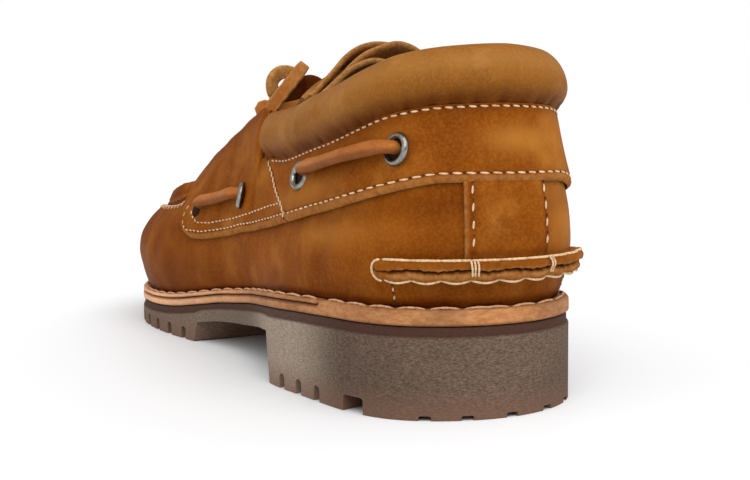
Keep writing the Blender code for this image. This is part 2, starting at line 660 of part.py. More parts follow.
def tongue(slot, group):
    """The tongue, arched across, from under the plug to its free end above the collar."""
    rows = TONGUE
    across = np.linspace(-1, 1, 11)
    grid = []
    for y, z, half, drop in rows:
        centre = 0.2 if y > 150 else -1.2
        grid.append([[centre + half * u, y, z - drop * abs(u) ** 2.2] for u in across])
    grid = np.array(grid)
    along = np.gradient(grid, axis=0)
    sideways = np.gradient(grid, axis=1)
    normal = np.cross(along, sideways)
    normal /= np.linalg.norm(normal, axis=2)[:, :, None]
    normal *= np.where(normal[:, :, 2:] < 0, -1, 1)
    return sheet("tongue", grid, grid - normal * 2.4, slot, group)


def insole(slot, group):
    """The footbed inside the upper."""

    def profile(y):
        low = rubber_top(y) + MIDSOLE_THICK + GAP
        return ((8.0, low), (7.4, low + 1.2), (7.8, low + 3.2))

    return plate("insole", plain_stations(), profile, slot, group)


def eyelet(name, at, share, slot, group):
    """A rolled metal eyelet standing on the leather."""
    middle = skin(at, share, GAP + OVERLAY)[0]
    out = skin(at, share, GAP + OVERLAY + 1.0)[0] - middle
    out /= np.linalg.norm(out)
    bpy.ops.mesh.primitive_torus_add(
        major_radius=EYELET_R * MM,
        minor_radius=EYELET_WIRE * MM,
        major_segments=14,
        minor_segments=5,
    )
    found = bpy.context.object
    found.name = name
    found.data.name = name
    place = middle + out * (EYELET_WIRE + 0.65)
    turn = Vector(out).to_track_quat("Z", "Y").to_matrix().to_4x4()
    squash = Matrix.Diagonal((1, 1, 0.8, 1))
    found.data.transform(Matrix.Translation(Vector(place) * MM) @ turn @ squash)
    found.matrix_world = Matrix.Identity(4)
    found.data.materials.append(slot)
    for owner in list(found.users_collection):
        owner.objects.unlink(found)
    group.objects.link(found)
    return found


def strap(name, route, sides, width, thick, slot, group):
    """A lace of rectangular section along a route; sides gives the direction out of its flat face."""
    route = np.array(route, float)
    sides = np.array(sides, float)
    along = np.gradient(route, axis=0)
    along /= np.linalg.norm(along, axis=1)[:, None]
    flat = np.cross(along, sides)
    flat /= np.linalg.norm(flat, axis=1)[:, None]
    out = np.cross(flat, along)
    sections = []
    corners = ((-0.5, -0.32), (-0.36, -0.5), (0.36, -0.5), (0.5, -0.32), (0.5, 0.32), (0.36, 0.5), (-0.36, 0.5), (-0.5, 0.32))
    for i in range(len(route)):
        sections.append([route[i] + flat[i] * a * width + out[i] * b * thick for a, b in corners])
    return tube(name, np.array(sections), slot, group)


def side_lace(name, first, second, inner, slot, group):
    """The rawhide lace that runs on the outside of the quarter from one eyelet to the next."""
    shares = np.array([0.0, 0.07, 0.13, 0.19, 0.27, 0.38, 0.5, 0.62, 0.73, 0.81, 0.87, 0.93, 1.0])
    at = np.array([side_arc(first[1] + (second[1] - first[1]) * u, inner) for u in shares])
    height = first[2] + (second[2] - first[2]) * shares
    reach = abs(second[1] - first[1]) * np.minimum(shares, 1 - shares)
    ease = np.clip((13.0 - reach) / 7.0, 0, 1)
    lift = GAP + OVERLAY + LACE * 0.4 + 0.7 + 2.6 * ease * ease * (3 - 2 * ease)
    sag = np.sin(shares * math.pi) * -0.012
    route = skin(at, height + sag, lift)
    out = route - skin(at, height + sag, lift - 1.0)
    return strap(name, route, out, LACE, LACE * 0.8, slot, group)


def tongue_height(x, y):
    """Top of the tongue at a point of the throat."""
    lengths = [row[0] for row in TONGUE][::-1]
    middle = float(np.interp(y, lengths, [row[1] for row in TONGUE][::-1]))
    half = float(np.interp(y, lengths, [row[2] for row in TONGUE][::-1]))
    drop = float(np.interp(y, lengths, [row[3] for row in TONGUE][::-1]))
    return middle - drop * min(1.0, abs(x) / half) ** 2.2


def crossing_route(side, near_y, middle_y, far_y, above):
    """One lace from under one facing, over the tongue, to the other facing."""
    near = skin(arc_at(near_y, side > 0), 1.0)[0, 0] * side - WALL - 2.6
    far = skin(arc_at(far_y, side < 0), 1.0)[0, 0] * -side - WALL - 2.6
    route = []
    for share in (0.0, 0.08, 0.16, 0.27, 0.38, 0.5, 0.62, 0.73, 0.84, 0.92, 1.0):
        x = side * (near * (1 - share) - far * share)
        y = float(np.interp(share, (0.0, 0.5, 1.0), (near_y, middle_y, far_y)))
        lift = 1.9 + (above - 1.0) * math.sin(math.pi * share)
        route.append(np.array([x, y, tongue_height(x, y) + LACE * 0.4 + lift]))
    return np.array(route)


def lace_crossing(slot, group, cutters):
    """The laces over the tongue, joined where they meet."""
    parts = []
    for i, (side, near_y, middle_y, far_y, above) in enumerate(CROSSINGS):
        route = crossing_route(side, near_y, middle_y, far_y, above)
        out = np.column_stack([route[:, 0] * 0.035, np.full(len(route), 0.42), np.full(len(route), 1.0)])
        home = group if i == 0 else cutters
        parts.append(strap(f"lace_crossing_{i}", route, out, LACE, LACE * 0.8, slot, home))
    whole = parts[0]
    whole.name = "lace_crossing"
    for i, part in enumerate(parts[1:]):
        part.display_type = "WIRE"
        join = whole.modifiers.new(f"join_{i}", "BOOLEAN")
        join.operation = "UNION"
        join.solver = "EXACT"
        join.object = part
    return whole


def knot(slot, group):
    """The pulled knot of the bow."""
    bpy.ops.mesh.primitive_torus_add(
        major_radius=2.9 * MM,
        minor_radius=2.1 * MM,
        major_segments=14,
        minor_segments=8,
    )
    found = bpy.context.object
    found.name = "lace_knot"
    place = Matrix.Translation(Vector(KNOT) * MM) @ Matrix.Rotation(math.radians(90), 4, "Y")
    found.data.transform(place)
    found.data.materials.append(slot)
    for owner in list(found.users_collection):
        owner.objects.unlink(found)
    group.objects.link(found)
    return found


def cord(name, route, radius, slot, group):
    """A round lace along a smoothed route."""
    curve = bpy.data.curves.new(name, "CURVE")
    curve.dimensions = "3D"
    curve.bevel_depth = radius * MM
    curve.bevel_resolution = 2
    curve.use_fill_caps = True
    route = np.array(route, float)
    for _ in range(1):
        low = route[:-1] * 0.75 + route[1:] * 0.25
        high = route[:-1] * 0.25 + route[1:] * 0.75
        mixed = np.empty((2 * len(low), 3))
        mixed[0::2] = low
        mixed[1::2] = high
        route = np.vstack([route[:1], mixed, route[-1:]])
    spline = curve.splines.new("POLY")
    spline.points.add(len(route) - 1)
    for point, place in zip(spline.points, route):
        point.co = (*(place * MM), 1)
    guide = bpy.data.objects.new(name + "_route", curve)
    group.objects.link(guide)
    graph = bpy.context.evaluated_depsgraph_get()
    mesh = bpy.data.meshes.new_from_object(guide.evaluated_get(graph))
    bpy.data.objects.remove(guide)
    made = bmesh.new()
    made.from_mesh(mesh)
    bmesh.ops.remove_doubles(made, verts=made.verts, dist=0.00001)
    bmesh.ops.recalc_face_normals(made, faces=made.faces)
    made.to_mesh(mesh)
    made.free()
    mesh.name = name
    mesh.materials.clear()
    mesh.materials.append(slot)
    found = bpy.data.objects.new(name, mesh)
    group.objects.link(found)
    return found


def settle(group, loose):
    """Puts the origin at the middle of the shoe's footprint, on the floor."""
    corners = []
    for found in group.objects:
        if found.name not in loose:
            corners += [vertex.co.copy() for vertex in found.data.vertices]
    low = [min(corner[i] for corner in corners) for i in range(3)]
    high = [max(corner[i] for corner in corners) for i in range(3)]
    shift = Vector((-(low[0] + high[0]) / 2, -(low[1] + high[1]) / 2, -low[2]))
    for found in bpy.data.objects:
        if found.type == "MESH":
            found.data.transform(Matrix.Translation(shift))
    return shift


def build():
    for found in list(bpy.data.objects):
        bpy.data.objects.remove(found)
    scene = bpy.context.scene.collection
    group = collection("boat_shoe_left", scene)
    cutters = collection("cutters", scene, hidden=True)
    rubber = material("rubber", (0.15, 0.115, 0.095), 0.85)
    edge = material("sole_leather", (0.62, 0.40, 0.25), 0.6)
    leather = material("upper_leather", (0.42, 0.19, 0.055), 0.5)
    lining = material("insole_leather", (0.30, 0.16, 0.07), 0.7)
    metal = material("eyelet_metal", (0.36, 0.33, 0.29), 0.4, 1.0)
    rawhide = material("lace_leather", (0.26, 0.11, 0.04), 0.6)
    outsole(rubber, group, cutters)
    midsole(edge, group)
    welt(edge, group)
    upper(leather, group)
    insole(lining, group)
    tongue(leather, group)
    plug(leather, group)
    band(leather, group)
    for side, inner in (("lateral", False), ("medial", True)):
        columns = finer(SADDLE[:9], 1)[:-1] + finer(SADDLE[8:], 2)
        patch(f"saddle_{side}", columns, 9, inner, GAP + LIFT, GAP + LIFT + OVERLAY, leather, group)
    collar(leather, group)
    heel_strip(leather, group)
    kicker(leather, group)
    for side, inner in (("lateral", False), ("medial", True)):
        ends = [(row[0], row[2] if inner else row[1], row[3]) for row in EYELETS]
        for place, at, share in ends[:3]:
            eyelet(f"eyelet_{side}_{place}", side_arc(at, inner), share, metal, group)
        side_lace(f"side_lace_{side}_rear", ends[0], ends[1], inner, rawhide, group)
        side_lace(f"side_lace_{side}_front", ends[2], ends[3], inner, rawhide, group)
    lace_crossing(rawhide, group, cutters)
    knot(rawhide, group)
    cord("bow_loop_lateral", BOW_OUTER, LACE_R, rawhide, group)
    cord("bow_loop_medial", BOW_INNER, LACE_R, rawhide, group)
    cord("lace_end_lateral", END_OUTER, LACE_R, rawhide, group)
    cord("lace_end_medial", END_INNER, LACE_R, rawhide, group)
    settle(group, LOOSE)


build()
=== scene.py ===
"""Left lug-sole boat shoe: hand-sewn moccasin toe, quarter band, padded collar and rawhide side lacing.

Measures are in millimetres from the back of the heel, with X towards the inner side of the foot, unless a
line says metres. The file follows the shoe as it is put together, once the studio and the loose bow are in
place.
"""
import math

import bmesh
import bpy
import numpy as np
from mathutils import Matrix, Vector


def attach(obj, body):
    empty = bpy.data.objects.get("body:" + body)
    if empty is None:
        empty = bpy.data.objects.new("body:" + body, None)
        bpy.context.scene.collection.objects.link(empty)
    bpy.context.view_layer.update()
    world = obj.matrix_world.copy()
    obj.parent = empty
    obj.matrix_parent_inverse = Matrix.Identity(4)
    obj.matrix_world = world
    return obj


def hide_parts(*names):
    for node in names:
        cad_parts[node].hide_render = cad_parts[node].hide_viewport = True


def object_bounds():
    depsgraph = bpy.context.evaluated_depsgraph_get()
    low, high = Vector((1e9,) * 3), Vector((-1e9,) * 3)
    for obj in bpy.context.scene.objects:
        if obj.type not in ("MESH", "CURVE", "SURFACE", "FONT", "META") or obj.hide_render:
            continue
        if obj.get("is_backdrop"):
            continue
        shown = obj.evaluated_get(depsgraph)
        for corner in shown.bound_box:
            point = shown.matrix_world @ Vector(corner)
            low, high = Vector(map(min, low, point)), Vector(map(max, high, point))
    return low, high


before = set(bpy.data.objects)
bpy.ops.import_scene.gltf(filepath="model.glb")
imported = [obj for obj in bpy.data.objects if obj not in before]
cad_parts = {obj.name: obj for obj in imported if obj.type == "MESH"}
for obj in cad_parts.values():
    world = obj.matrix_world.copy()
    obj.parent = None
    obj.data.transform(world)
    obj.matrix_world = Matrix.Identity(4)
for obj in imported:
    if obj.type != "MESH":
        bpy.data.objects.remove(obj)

cad_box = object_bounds()


# The studio: a plain pale floor under a white sky, a broad soft light over the heel and two weaker ones that
# open the shadows. The camera stands low behind the outer side of the heel.
def place_camera(spot, look, lens, shift):
    camera = bpy.data.objects.new("camera", bpy.data.cameras.new("camera"))
    camera.data.lens = lens
    camera.data.sensor_width = 36.0
    camera.data.shift_x = shift
    camera.data.clip_start = 0.01
    camera.data.clip_end = 60.0
    turn = Vector(look).to_track_quat("-Z", "Y").to_matrix().to_4x4()
    camera.matrix_world = Matrix.Translation(spot) @ turn
    bpy.context.scene.collection.objects.link(camera)
    bpy.context.scene.camera = camera


def soft_light(name, look, strength, spread, color):
    lamp = bpy.data.lights.new(name, "SUN")
    lamp.energy = strength
    lamp.angle = math.radians(spread)
    lamp.color = color
    made = bpy.data.objects.new(name, lamp)
    made.matrix_world = Vector(look).to_track_quat("-Z", "Y").to_matrix().to_4x4()
    bpy.context.scene.collection.objects.link(made)


def join(tree, kind, sockets=None, **settings):
    """Adds a shader node. Its sockets take plain values or the outputs of other nodes."""
    made = tree.nodes.new(kind)
    for name, value in settings.items():
        setattr(made, name, value)
    for name, value in (sockets or {}).items():
        if isinstance(value, bpy.types.NodeSocket):
            tree.links.new(value, made.inputs[name])
        else:
            made.inputs[name].default_value = value
    return made


def white_sky(seen, felt):
    world = bpy.data.worlds.new("white_sky")
    bpy.context.scene.world = world
    world.use_nodes = True
    tree = world.node_tree
    tree.nodes.clear()
    path = join(tree, "ShaderNodeLightPath")
    strength = join(tree, "ShaderNodeMapRange", {0: path.outputs["Is Camera Ray"], 3: felt, 4: seen})
    sky = join(tree, "ShaderNodeBackground", {"Color": (1, 1, 1, 1), "Strength": strength.outputs[0]})
    join(tree, "ShaderNodeOutputWorld", {"Surface": sky.outputs[0]})


def bare_object(name, made):
    """An object in the scene from a mesh in the making."""
    mesh = bpy.data.meshes.new(name)
    made.to_mesh(mesh)
    made.free()
    found = bpy.data.objects.new(name, mesh)
    bpy.context.scene.collection.objects.link(found)
    return found


def new_surface(name, roughness=0.5, shine=0.5):
    """A material, its node tree and its shader, with a plain roughness and shine."""
    made = bpy.data.materials.new(name)
    made.use_nodes = True
    shader = made.node_tree.nodes["Principled BSDF"]
    shader.inputs["Roughness"].default_value = roughness
    shader.inputs["Specular IOR Level"].default_value = shine
    return made, made.node_tree, shader


def pale_floor(size):
    made = bmesh.new()
    bmesh.ops.create_grid(made, x_segments=2, y_segments=2, size=size)
    bmesh.ops.translate(made, verts=made.verts, vec=(0, 0, -0.0001))
    floor = bare_object("floor", made)
    surface, _, shader = new_surface("floor", 0.6, 0.2)
    shader.inputs["Base Color"].default_value = (0.915, 0.93, 0.945, 1)
    floor.data.materials.append(surface)
    floor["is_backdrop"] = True


bpy.context.scene.view_settings.view_transform = "Standard"
place_camera((-0.16654, -0.43705, 0.08330), (0.4896, 0.8672, -0.0909), 55.2, -0.16)
white_sky(1.0, 0.50)
soft_light("key_over_heel", (0.06, 0.75, -0.95), 2.1, 60, (1.0, 0.99, 0.975))
soft_light("fill_outer_side", (0.85, 0.25, -0.50), 0.70, 80, (1.0, 1.0, 1.0))
soft_light("fill_inner_side", (-0.85, 0.35, -0.60), 0.45, 80, (1.0, 1.0, 1.0))
pale_floor(14.0)


# The bow: one rawhide lace with square edges, pulled into a round loop on the outer side, a flatter one on
# the inner side and two short ends. All four leave the knot that sits on the crossed laces over the tongue.
MM = 0.001
HEEL = np.array([-0.0508, -147.5307, 0.0])
LACE_WIDE = 4.9
LACE_THICK = 2.9
LACE_STEP = 1.1
KNOT = (-1.0, 150.0, 97.9)
KNOT_STEPS = 40
KNOT_REACH = 2.9
KNOT_SWAY = 1.2
KNOT_WIDE = 5.2
KNOT_THICK = 2.6
BOW_OUTER = (
    (-4.7, 148.6, 99.5), (-7.8, 146.2, 103.0), (-11.6, 143.4, 106.3), (-15.6, 142.2, 107.7),
    (-19.2, 141.8, 106.8), (-21.6, 141.6, 103.8), (-21.2, 141.8, 100.0), (-18.2, 142.6, 97.0),
    (-13.0, 144.6, 95.6), (-8.4, 146.6, 95.4), (-4.9, 148.4, 95.9),
)
BOW_INNER = (
    (2.2, 150.4, 98.8), (9.0, 152.0, 101.7), (17.0, 154.6, 101.9), (24.0, 156.6, 99.1), (27.6, 156.8, 94.9),
    (25.6, 154.0, 92.1), (18.6, 151.4, 92.9), (10.6, 150.2, 94.5), (2.4, 150.0, 96.1),
)
END_OUTER = (
    (-2.4, 144.9, 97.6), (-8.6, 140.6, 95.3), (-16.0, 137.4, 93.5), (-22.6, 135.8, 92.7),
    (-26.8, 135.0, 94.2), (-28.6, 134.6, 92.9), (-27.2, 134.2, 91.0), (-25.6, 134.0, 92.3),
    (-23.4, 134.0, 95.3), (-20.2, 134.0, 99.3), (-16.3, 134.0, 103.9), (-13.0, 134.0, 108.0),
    (-11.1, 134.0, 110.2),
)
END_INNER = (
    (0.4, 155.4, 97.1), (8.0, 158.6, 94.9), (17.0, 161.8, 91.9), (26.0, 164.4, 87.7), (33.4, 166.0, 81.9),
    (37.8, 167.0, 74.7),
)
# Half of the lace's section, from the middle of its face round one edge: across, out, how raw the leather is.
LACE_EDGE = (
    (0.0, 0.50, 0.0), (0.26, 0.50, 0.0), (0.37, 0.49, 0.45), (0.45, 0.44, 1.0), (0.49, 0.30, 1.0),
    (0.5, -0.20, 1.0), (0.47, -0.43, 1.0), (0.38, -0.5, 0.95), (0.18, -0.5, 0.85),
)


def in_frame(places):
    """Heel measures in millimetres to the model's metres."""
    return (np.asarray(places, float) + HEEL) * MM


def laid_grid(name, places, masks=None, round_rows=False, round_columns=False, capped=False):
    """A piece from a grid of places (rows, columns, 3), with masks painted on it."""
    masks = dict(masks or {})
    places = in_frame(places)
    if round_rows:
        places = np.concatenate([places, places[:1]])
        masks = {key: np.concatenate([mask, mask[:1]]) for key, mask in masks.items()}
    if round_columns:
        places = np.concatenate([places, places[:, :1]], axis=1)
        masks = {key: np.concatenate([mask, mask[:, :1]], axis=1) for key, mask in masks.items()}
    rows, columns = places.shape[:2]
    made = bmesh.new()
    bmesh.ops.create_grid(made, x_segments=columns - 1, y_segments=rows - 1, size=1)
    layers = {key: made.verts.layers.float.new(key) for key in masks}
    for vertex, place in zip(made.verts, places.reshape(-1, 3)):
        vertex.co = place
    for key, layer in layers.items():
        for vertex, value in zip(made.verts, masks[key].reshape(-1)):
            vertex[layer] = value
    if round_rows or round_columns:
        bmesh.ops.remove_doubles(made, verts=made.verts, dist=2e-6)
    if capped:
        rim = [edge for edge in made.edges if edge.is_boundary]
        bmesh.ops.holes_fill(made, edges=rim, sides=0)
    bmesh.ops.recalc_face_normals(made, faces=made.faces)
    if capped and made.calc_volume(signed=True) < 0:
        bmesh.ops.reverse_faces(made, faces=made.faces)
    for face in made.faces:
        face.smooth = True
    return bare_object(name, made)


def finish_piece(piece, surface, slot, *nodes, sharp=None):
    """Gives a piece its material and hides the solids it stands for. Its slot is not used."""
    piece.data.materials.clear()
    for each in surface if isinstance(surface, (list, tuple)) else (surface,):
        piece.data.materials.append(each)
    if sharp:
        piece.data.set_sharp_from_angle(angle=math.radians(sharp))
    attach(piece, "root")
    if nodes:
        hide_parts(*nodes)
    return piece


def through(route, step):
    """A smooth line through the points of a route, at even steps."""
    route = np.asarray(route, float)
    ends = np.vstack([2 * route[0] - route[1], route, 2 * route[-1] - route[-2]])
    line = []
    for i in range(1, len(ends) - 2):
        a, b, c, d = ends[i - 1 : i + 3]
        for u in np.linspace(0, 1, 12, endpoint=False):
            line.append(
                0.5
                * (2 * b + (c - a) * u + (2 * a - 5 * b + 4 * c - d) * u * u + (3 * b - a - 3 * c + d) * u**3)
            )
    line = np.array(line + [route[-1]])
    along = np.append(0, np.cumsum(np.linalg.norm(np.diff(line, axis=0), axis=1)))
    at = np.linspace(0, along[-1], max(3, int(round(along[-1] / step)) + 1))
    return np.column_stack([np.interp(at, along, line[:, k]) for k in range(3)])


def whole_section(edge):
    """A lace's whole section from one half of it."""
    return [(a, b, raw) for a, b, raw in edge] + [(-a, b, raw) for a, b, raw in edge[:0:-1]]


def lace_places(route, outs, wide, thick, blunt=True, pinch=None, edge=LACE_EDGE):
    """The skin of a lace along a route, its face along outs. blunt draws its ends in, pinch narrows it."""
    along = np.gradient(route, axis=0)
    along /= np.linalg.norm(along, axis=1)[:, None]
    flat = np.cross(along, outs)
    flat /= np.linalg.norm(flat, axis=1)[:, None]
    up = np.cross(flat, along)
    section = whole_section(edge)
    places = np.zeros((len(route), len(section), 3))
    raw = np.zeros((len(route), len(section)))
    distance = np.minimum(np.arange(len(route)), np.arange(len(route))[::-1])
    for i in range(len(route)):
        grow = min(1.0, 0.8 + 0.2 * distance[i] / 2.0) if blunt else 1.0
        waver = 1 + 0.05 * math.sin(i * 0.9 + route[i, 0] * 0.7) if pinch is None else pinch[i]
        for k, (a, b, bare) in enumerate(section):
            places[i, k] = route[i] + flat[i] * a * wide * grow * waver + up[i] * b * thick * grow
            raw[i, k] = bare
    return places, raw


def noise(tree, place, scale, detail=2.0, rough=0.5):
    """Soft noise over a piece."""
    sockets = {"Vector": place, "Scale": scale, "Detail": detail, "Roughness": rough}
    return join(tree, "ShaderNodeTexNoise", sockets).outputs[0]


def spread(tree, value, low, high, to_low=0.0, to_high=1.0, ease="LINEAR"):
    """Lays the range from low to high on another range, and stops at its ends."""
    sockets = {0: value, 1: low, 2: high, 3: to_low, 4: to_high}
    return join(tree, "ShaderNodeMapRange", sockets, interpolation_type=ease).outputs[0]


def sums(tree, kind, first, second):
    return join(tree, "ShaderNodeMath", {0: first, 1: second}, operation=kind).outputs[0]


def mix(tree, share, first, second):
    """Two colours mixed by a share, 0 for the first."""
    return join(tree, "ShaderNodeMix", {0: share, 6: first, 7: second}, data_type="RGBA").outputs[2]


def stretched(tree, place, upright):
    """A pattern's place, scaled in height: under 1 draws it out upright, and over 1 lays it flat."""
    return join(tree, "ShaderNodeMapping", {"Vector": place, "Scale": (1.0, 1.0, upright)}).outputs[0]


def object_place(tree):
    return join(tree, "ShaderNodeTexCoord").outputs["Object"]


def dress(tree, shader, color, height, depth):
    """Gives a shader its colour, and a relief of that depth in metres."""
    relief = join(tree, "ShaderNodeBump", {"Height": height, "Distance": depth})
    tree.links.new(color, shader.inputs["Base Color"])
    tree.links.new(relief.outputs[0], shader.inputs["Normal"])


def hide_group():
    """Oiled leather: slow blotches, small mottling, rubbed lighter places, pores and fine lines, with painted
    highlights and painted shade with burnish laid on from the piece's masks.
    """
    group = bpy.data.node_groups.new("oiled_hide", "ShaderNodeTree")
    face = group.interface
    # The rubbed colour also colours the painted highlights; the darkening mask carries burnish and painted
    # shade, and the lightening mask carries painted highlights.
    for name, kind, value in (
        ("Deep", "NodeSocketColor", (0.148, 0.032, 0.0018, 1)),
        ("Body", "NodeSocketColor", (0.275, 0.071, 0.0040, 1)),
        ("Rubbed", "NodeSocketColor", (0.42, 0.162, 0.026, 1)), ("Blotch", "NodeSocketFloat", 34.0),
        ("Rubbing", "NodeSocketFloat", 0.5), ("Burnish_and_shade", "NodeSocketFloat", 0.0),
        ("Raw", "NodeSocketFloat", 0.0),
        ("Suede", "NodeSocketColor", (0.40, 0.175, 0.050, 1)), ("Light", "NodeSocketFloat", 0.0),
    ):
        face.new_socket(name, in_out="INPUT", socket_type=kind).default_value = value
    face.new_socket("Color", in_out="OUTPUT", socket_type="NodeSocketColor")
    face.new_socket("Roughness", in_out="OUTPUT", socket_type="NodeSocketFloat")
    face.new_socket("Height", in_out="OUTPUT", socket_type="NodeSocketFloat")
    given = group.nodes.new("NodeGroupInput").outputs
    place = object_place(group)

    blotch = noise(group, place, given["Blotch"], 4.0, 0.6)
    mottle = noise(group, place, 170.0, 4.0, 0.65)
    speck = noise(group, place, 1100.0, 2.0, 0.55)
    standing = stretched(group, place, 0.22)
    lines = noise(group, standing, 230.0, 3.0, 0.5)
    tone = sums(
        group, "ADD", spread(group, blotch, 0.34, 0.66, 0.0, 0.62),
        spread(group, mottle, 0.30, 0.70, 0.0, 0.38),
    )
    color = mix(group, tone, given["Deep"], given["Body"])
    # Lighter towards the rubbed colour in random rubbed places and in the painted highlights of the piece's
    # mask.
    lighter = sums(
        group, "MULTIPLY", spread(group, noise(group, place, 52.0, 3.0, 0.55), 0.50, 0.72), given["Rubbing"]
    )
    lighter = sums(
        group, "ADD", sums(group, "MULTIPLY", lighter, spread(group, mottle, 0.35, 0.6, 0.35, 1.0)),
        given["Light"],
    )
    color = mix(group, join(group, "ShaderNodeClamp", {0: lighter}).outputs[0], color, given["Rubbed"])
    color = mix(group, spread(group, speck, 0.42, 0.72, 0.0, 0.25), color, given["Rubbed"])
    color = mix(group, spread(group, lines, 0.58, 0.74, 0.0, 0.16), color, given["Deep"])
    # Painted shade and burnish from the piece's darkening mask, towards a near-black brown.
    burnish_and_shade = sums(group, "MULTIPLY", given["Burnish_and_shade"], spread(group, mottle, 0.25, 0.65, 0.6, 1.0))
    color = mix(group, burnish_and_shade, color, (0.075, 0.013, 0.0008, 1))
    fluff = spread(group, noise(group, place, 420.0, 4.0, 0.75), 0.3, 0.7, -0.35, 0.25)
    bare = join(
        group, "ShaderNodeClamp",
        {0: sums(group, "ADD", given["Raw"], sums(group, "MULTIPLY", fluff, given["Raw"]))},
    ).outputs[0]
    color = mix(
        group, bare, color,
        mix(
            group, spread(group, noise(group, place, 600.0, 3.0, 0.55), 0.35, 0.7, 0.0, 0.6), given["Suede"],
            given["Deep"],
        ),
    )
    pores = join(
        group, "ShaderNodeTexVoronoi", {"Vector": place, "Scale": 1350.0}, feature="SMOOTH_F1"
    ).outputs[0]
    height = sums(group, "ADD", sums(group, "MULTIPLY", pores, 0.35), sums(group, "MULTIPLY", speck, 0.45))
    height = sums(group, "ADD", height, sums(group, "MULTIPLY", lines, 0.8))
    height = sums(group, "ADD", height, sums(group, "MULTIPLY", mottle, 0.6))
    height = sums(
        group, "ADD", height,
        sums(
            group, "MULTIPLY", sums(group, "MULTIPLY", noise(group, place, 900.0, 3.0, 0.7), given["Raw"]),
            2.0,
        ),
    )
    rough = sums(
        group, "ADD", spread(group, blotch, 0.3, 0.7, 0.56, 0.44), sums(group, "MULTIPLY", given["Raw"], 0.3)
    )
    out = group.nodes.new("NodeGroupOutput")
    group.links.new(color, out.inputs["Color"])
    group.links.new(rough, out.inputs["Roughness"])
    group.links.new(height, out.inputs["Height"])
    return group


oiled_hide = hide_group()


def leather(name, shine=0.015, bump=0.00016, **values):
    """A leather finish from the shared hide in a piece's own tones. Its masks are painted on the piece: raw
    edges, burnish with painted shade, and painted highlights.
    """
    made, tree, shader = new_surface(name, shine=shine)
    hide = join(tree, "ShaderNodeGroup", node_tree=oiled_hide)
    for key, value in values.items():
        hide.inputs[key].default_value = value
    for key in ("Burnish_and_shade", "Raw", "Light"):
        mask = join(tree, "ShaderNodeAttribute", attribute_name=key.lower())
        tree.links.new(mask.outputs["Fac"], hide.inputs[key])
    tree.links.new(hide.outputs["Roughness"], shader.inputs["Roughness"])
    dress(tree, shader, hide.outputs["Color"], hide.outputs["Height"], bump)
    return made


rawhide = leather(
    "rawhide", 0.06, 0.00012, Deep=(0.19, 0.046, 0.006, 1), Body=(0.34, 0.112, 0.017, 1),
    Rubbed=(0.52, 0.245, 0.070, 1),
    Blotch=60.0, Rubbing=0.8, Suede=(0.42, 0.215, 0.068, 1),
)


def free_lace(name, route, out, node):
    line = through(route, LACE_STEP)
    outs = np.tile(np.asarray(out, float), (len(line), 1))
    places, raw = lace_places(line, outs, LACE_WIDE, LACE_THICK)
    piece = laid_grid(name, places, {"raw": raw}, round_columns=True, capped=True)
    finish_piece(piece, rawhide, "lace_leather", node)
    spots = in_frame(line)
    return piece


def pulled_knot(name, middle):
    """The knot: the lace wrapped once round the bow, drawn tight."""
    middle = np.array(middle)
    turns = np.linspace(0, 2 * math.pi, KNOT_STEPS, endpoint=False)
    circle = [KNOT_SWAY * np.sin(2 * turns), KNOT_REACH * np.cos(turns), KNOT_REACH * np.sin(turns)]
    ring = np.column_stack(circle) + middle
    along = np.roll(ring, -1, 0) - np.roll(ring, 1, 0)
    along /= np.linalg.norm(along, axis=1)[:, None]
    out = ring - middle
    out[:, 0] = 0
    out /= np.linalg.norm(out, axis=1)[:, None]
    flat = np.cross(along, out)
    section = whole_section(LACE_EDGE)
    places = [
        [spot + wide * a * KNOT_WIDE + thick * b * KNOT_THICK for a, b, _ in section]
        for spot, wide, thick in zip(ring, flat, out)
    ]
    raw = np.array([[bare for _, _, bare in section]] * KNOT_STEPS)
    piece = laid_grid(name, np.array(places), {"raw": raw}, round_rows=True, round_columns=True)
    return finish_piece(piece, rawhide, "lace_leather", "lace_knot")


knot = pulled_knot("bow_knot", KNOT)
free_lace("bow_round_loop", BOW_OUTER, (-0.46, 0.88, 0.05), "bow_loop_lateral")
free_lace("bow_flat_loop", BOW_INNER, (0.2, 0.95, 0.2), "bow_loop_medial")
free_lace("lace_tip_outer", END_OUTER, (-0.42, -0.90, 0.12), "lace_end_lateral")
free_lace("lace_tip_inner", END_INNER, (0.35, 0.2, 0.9), "lace_end_medial")


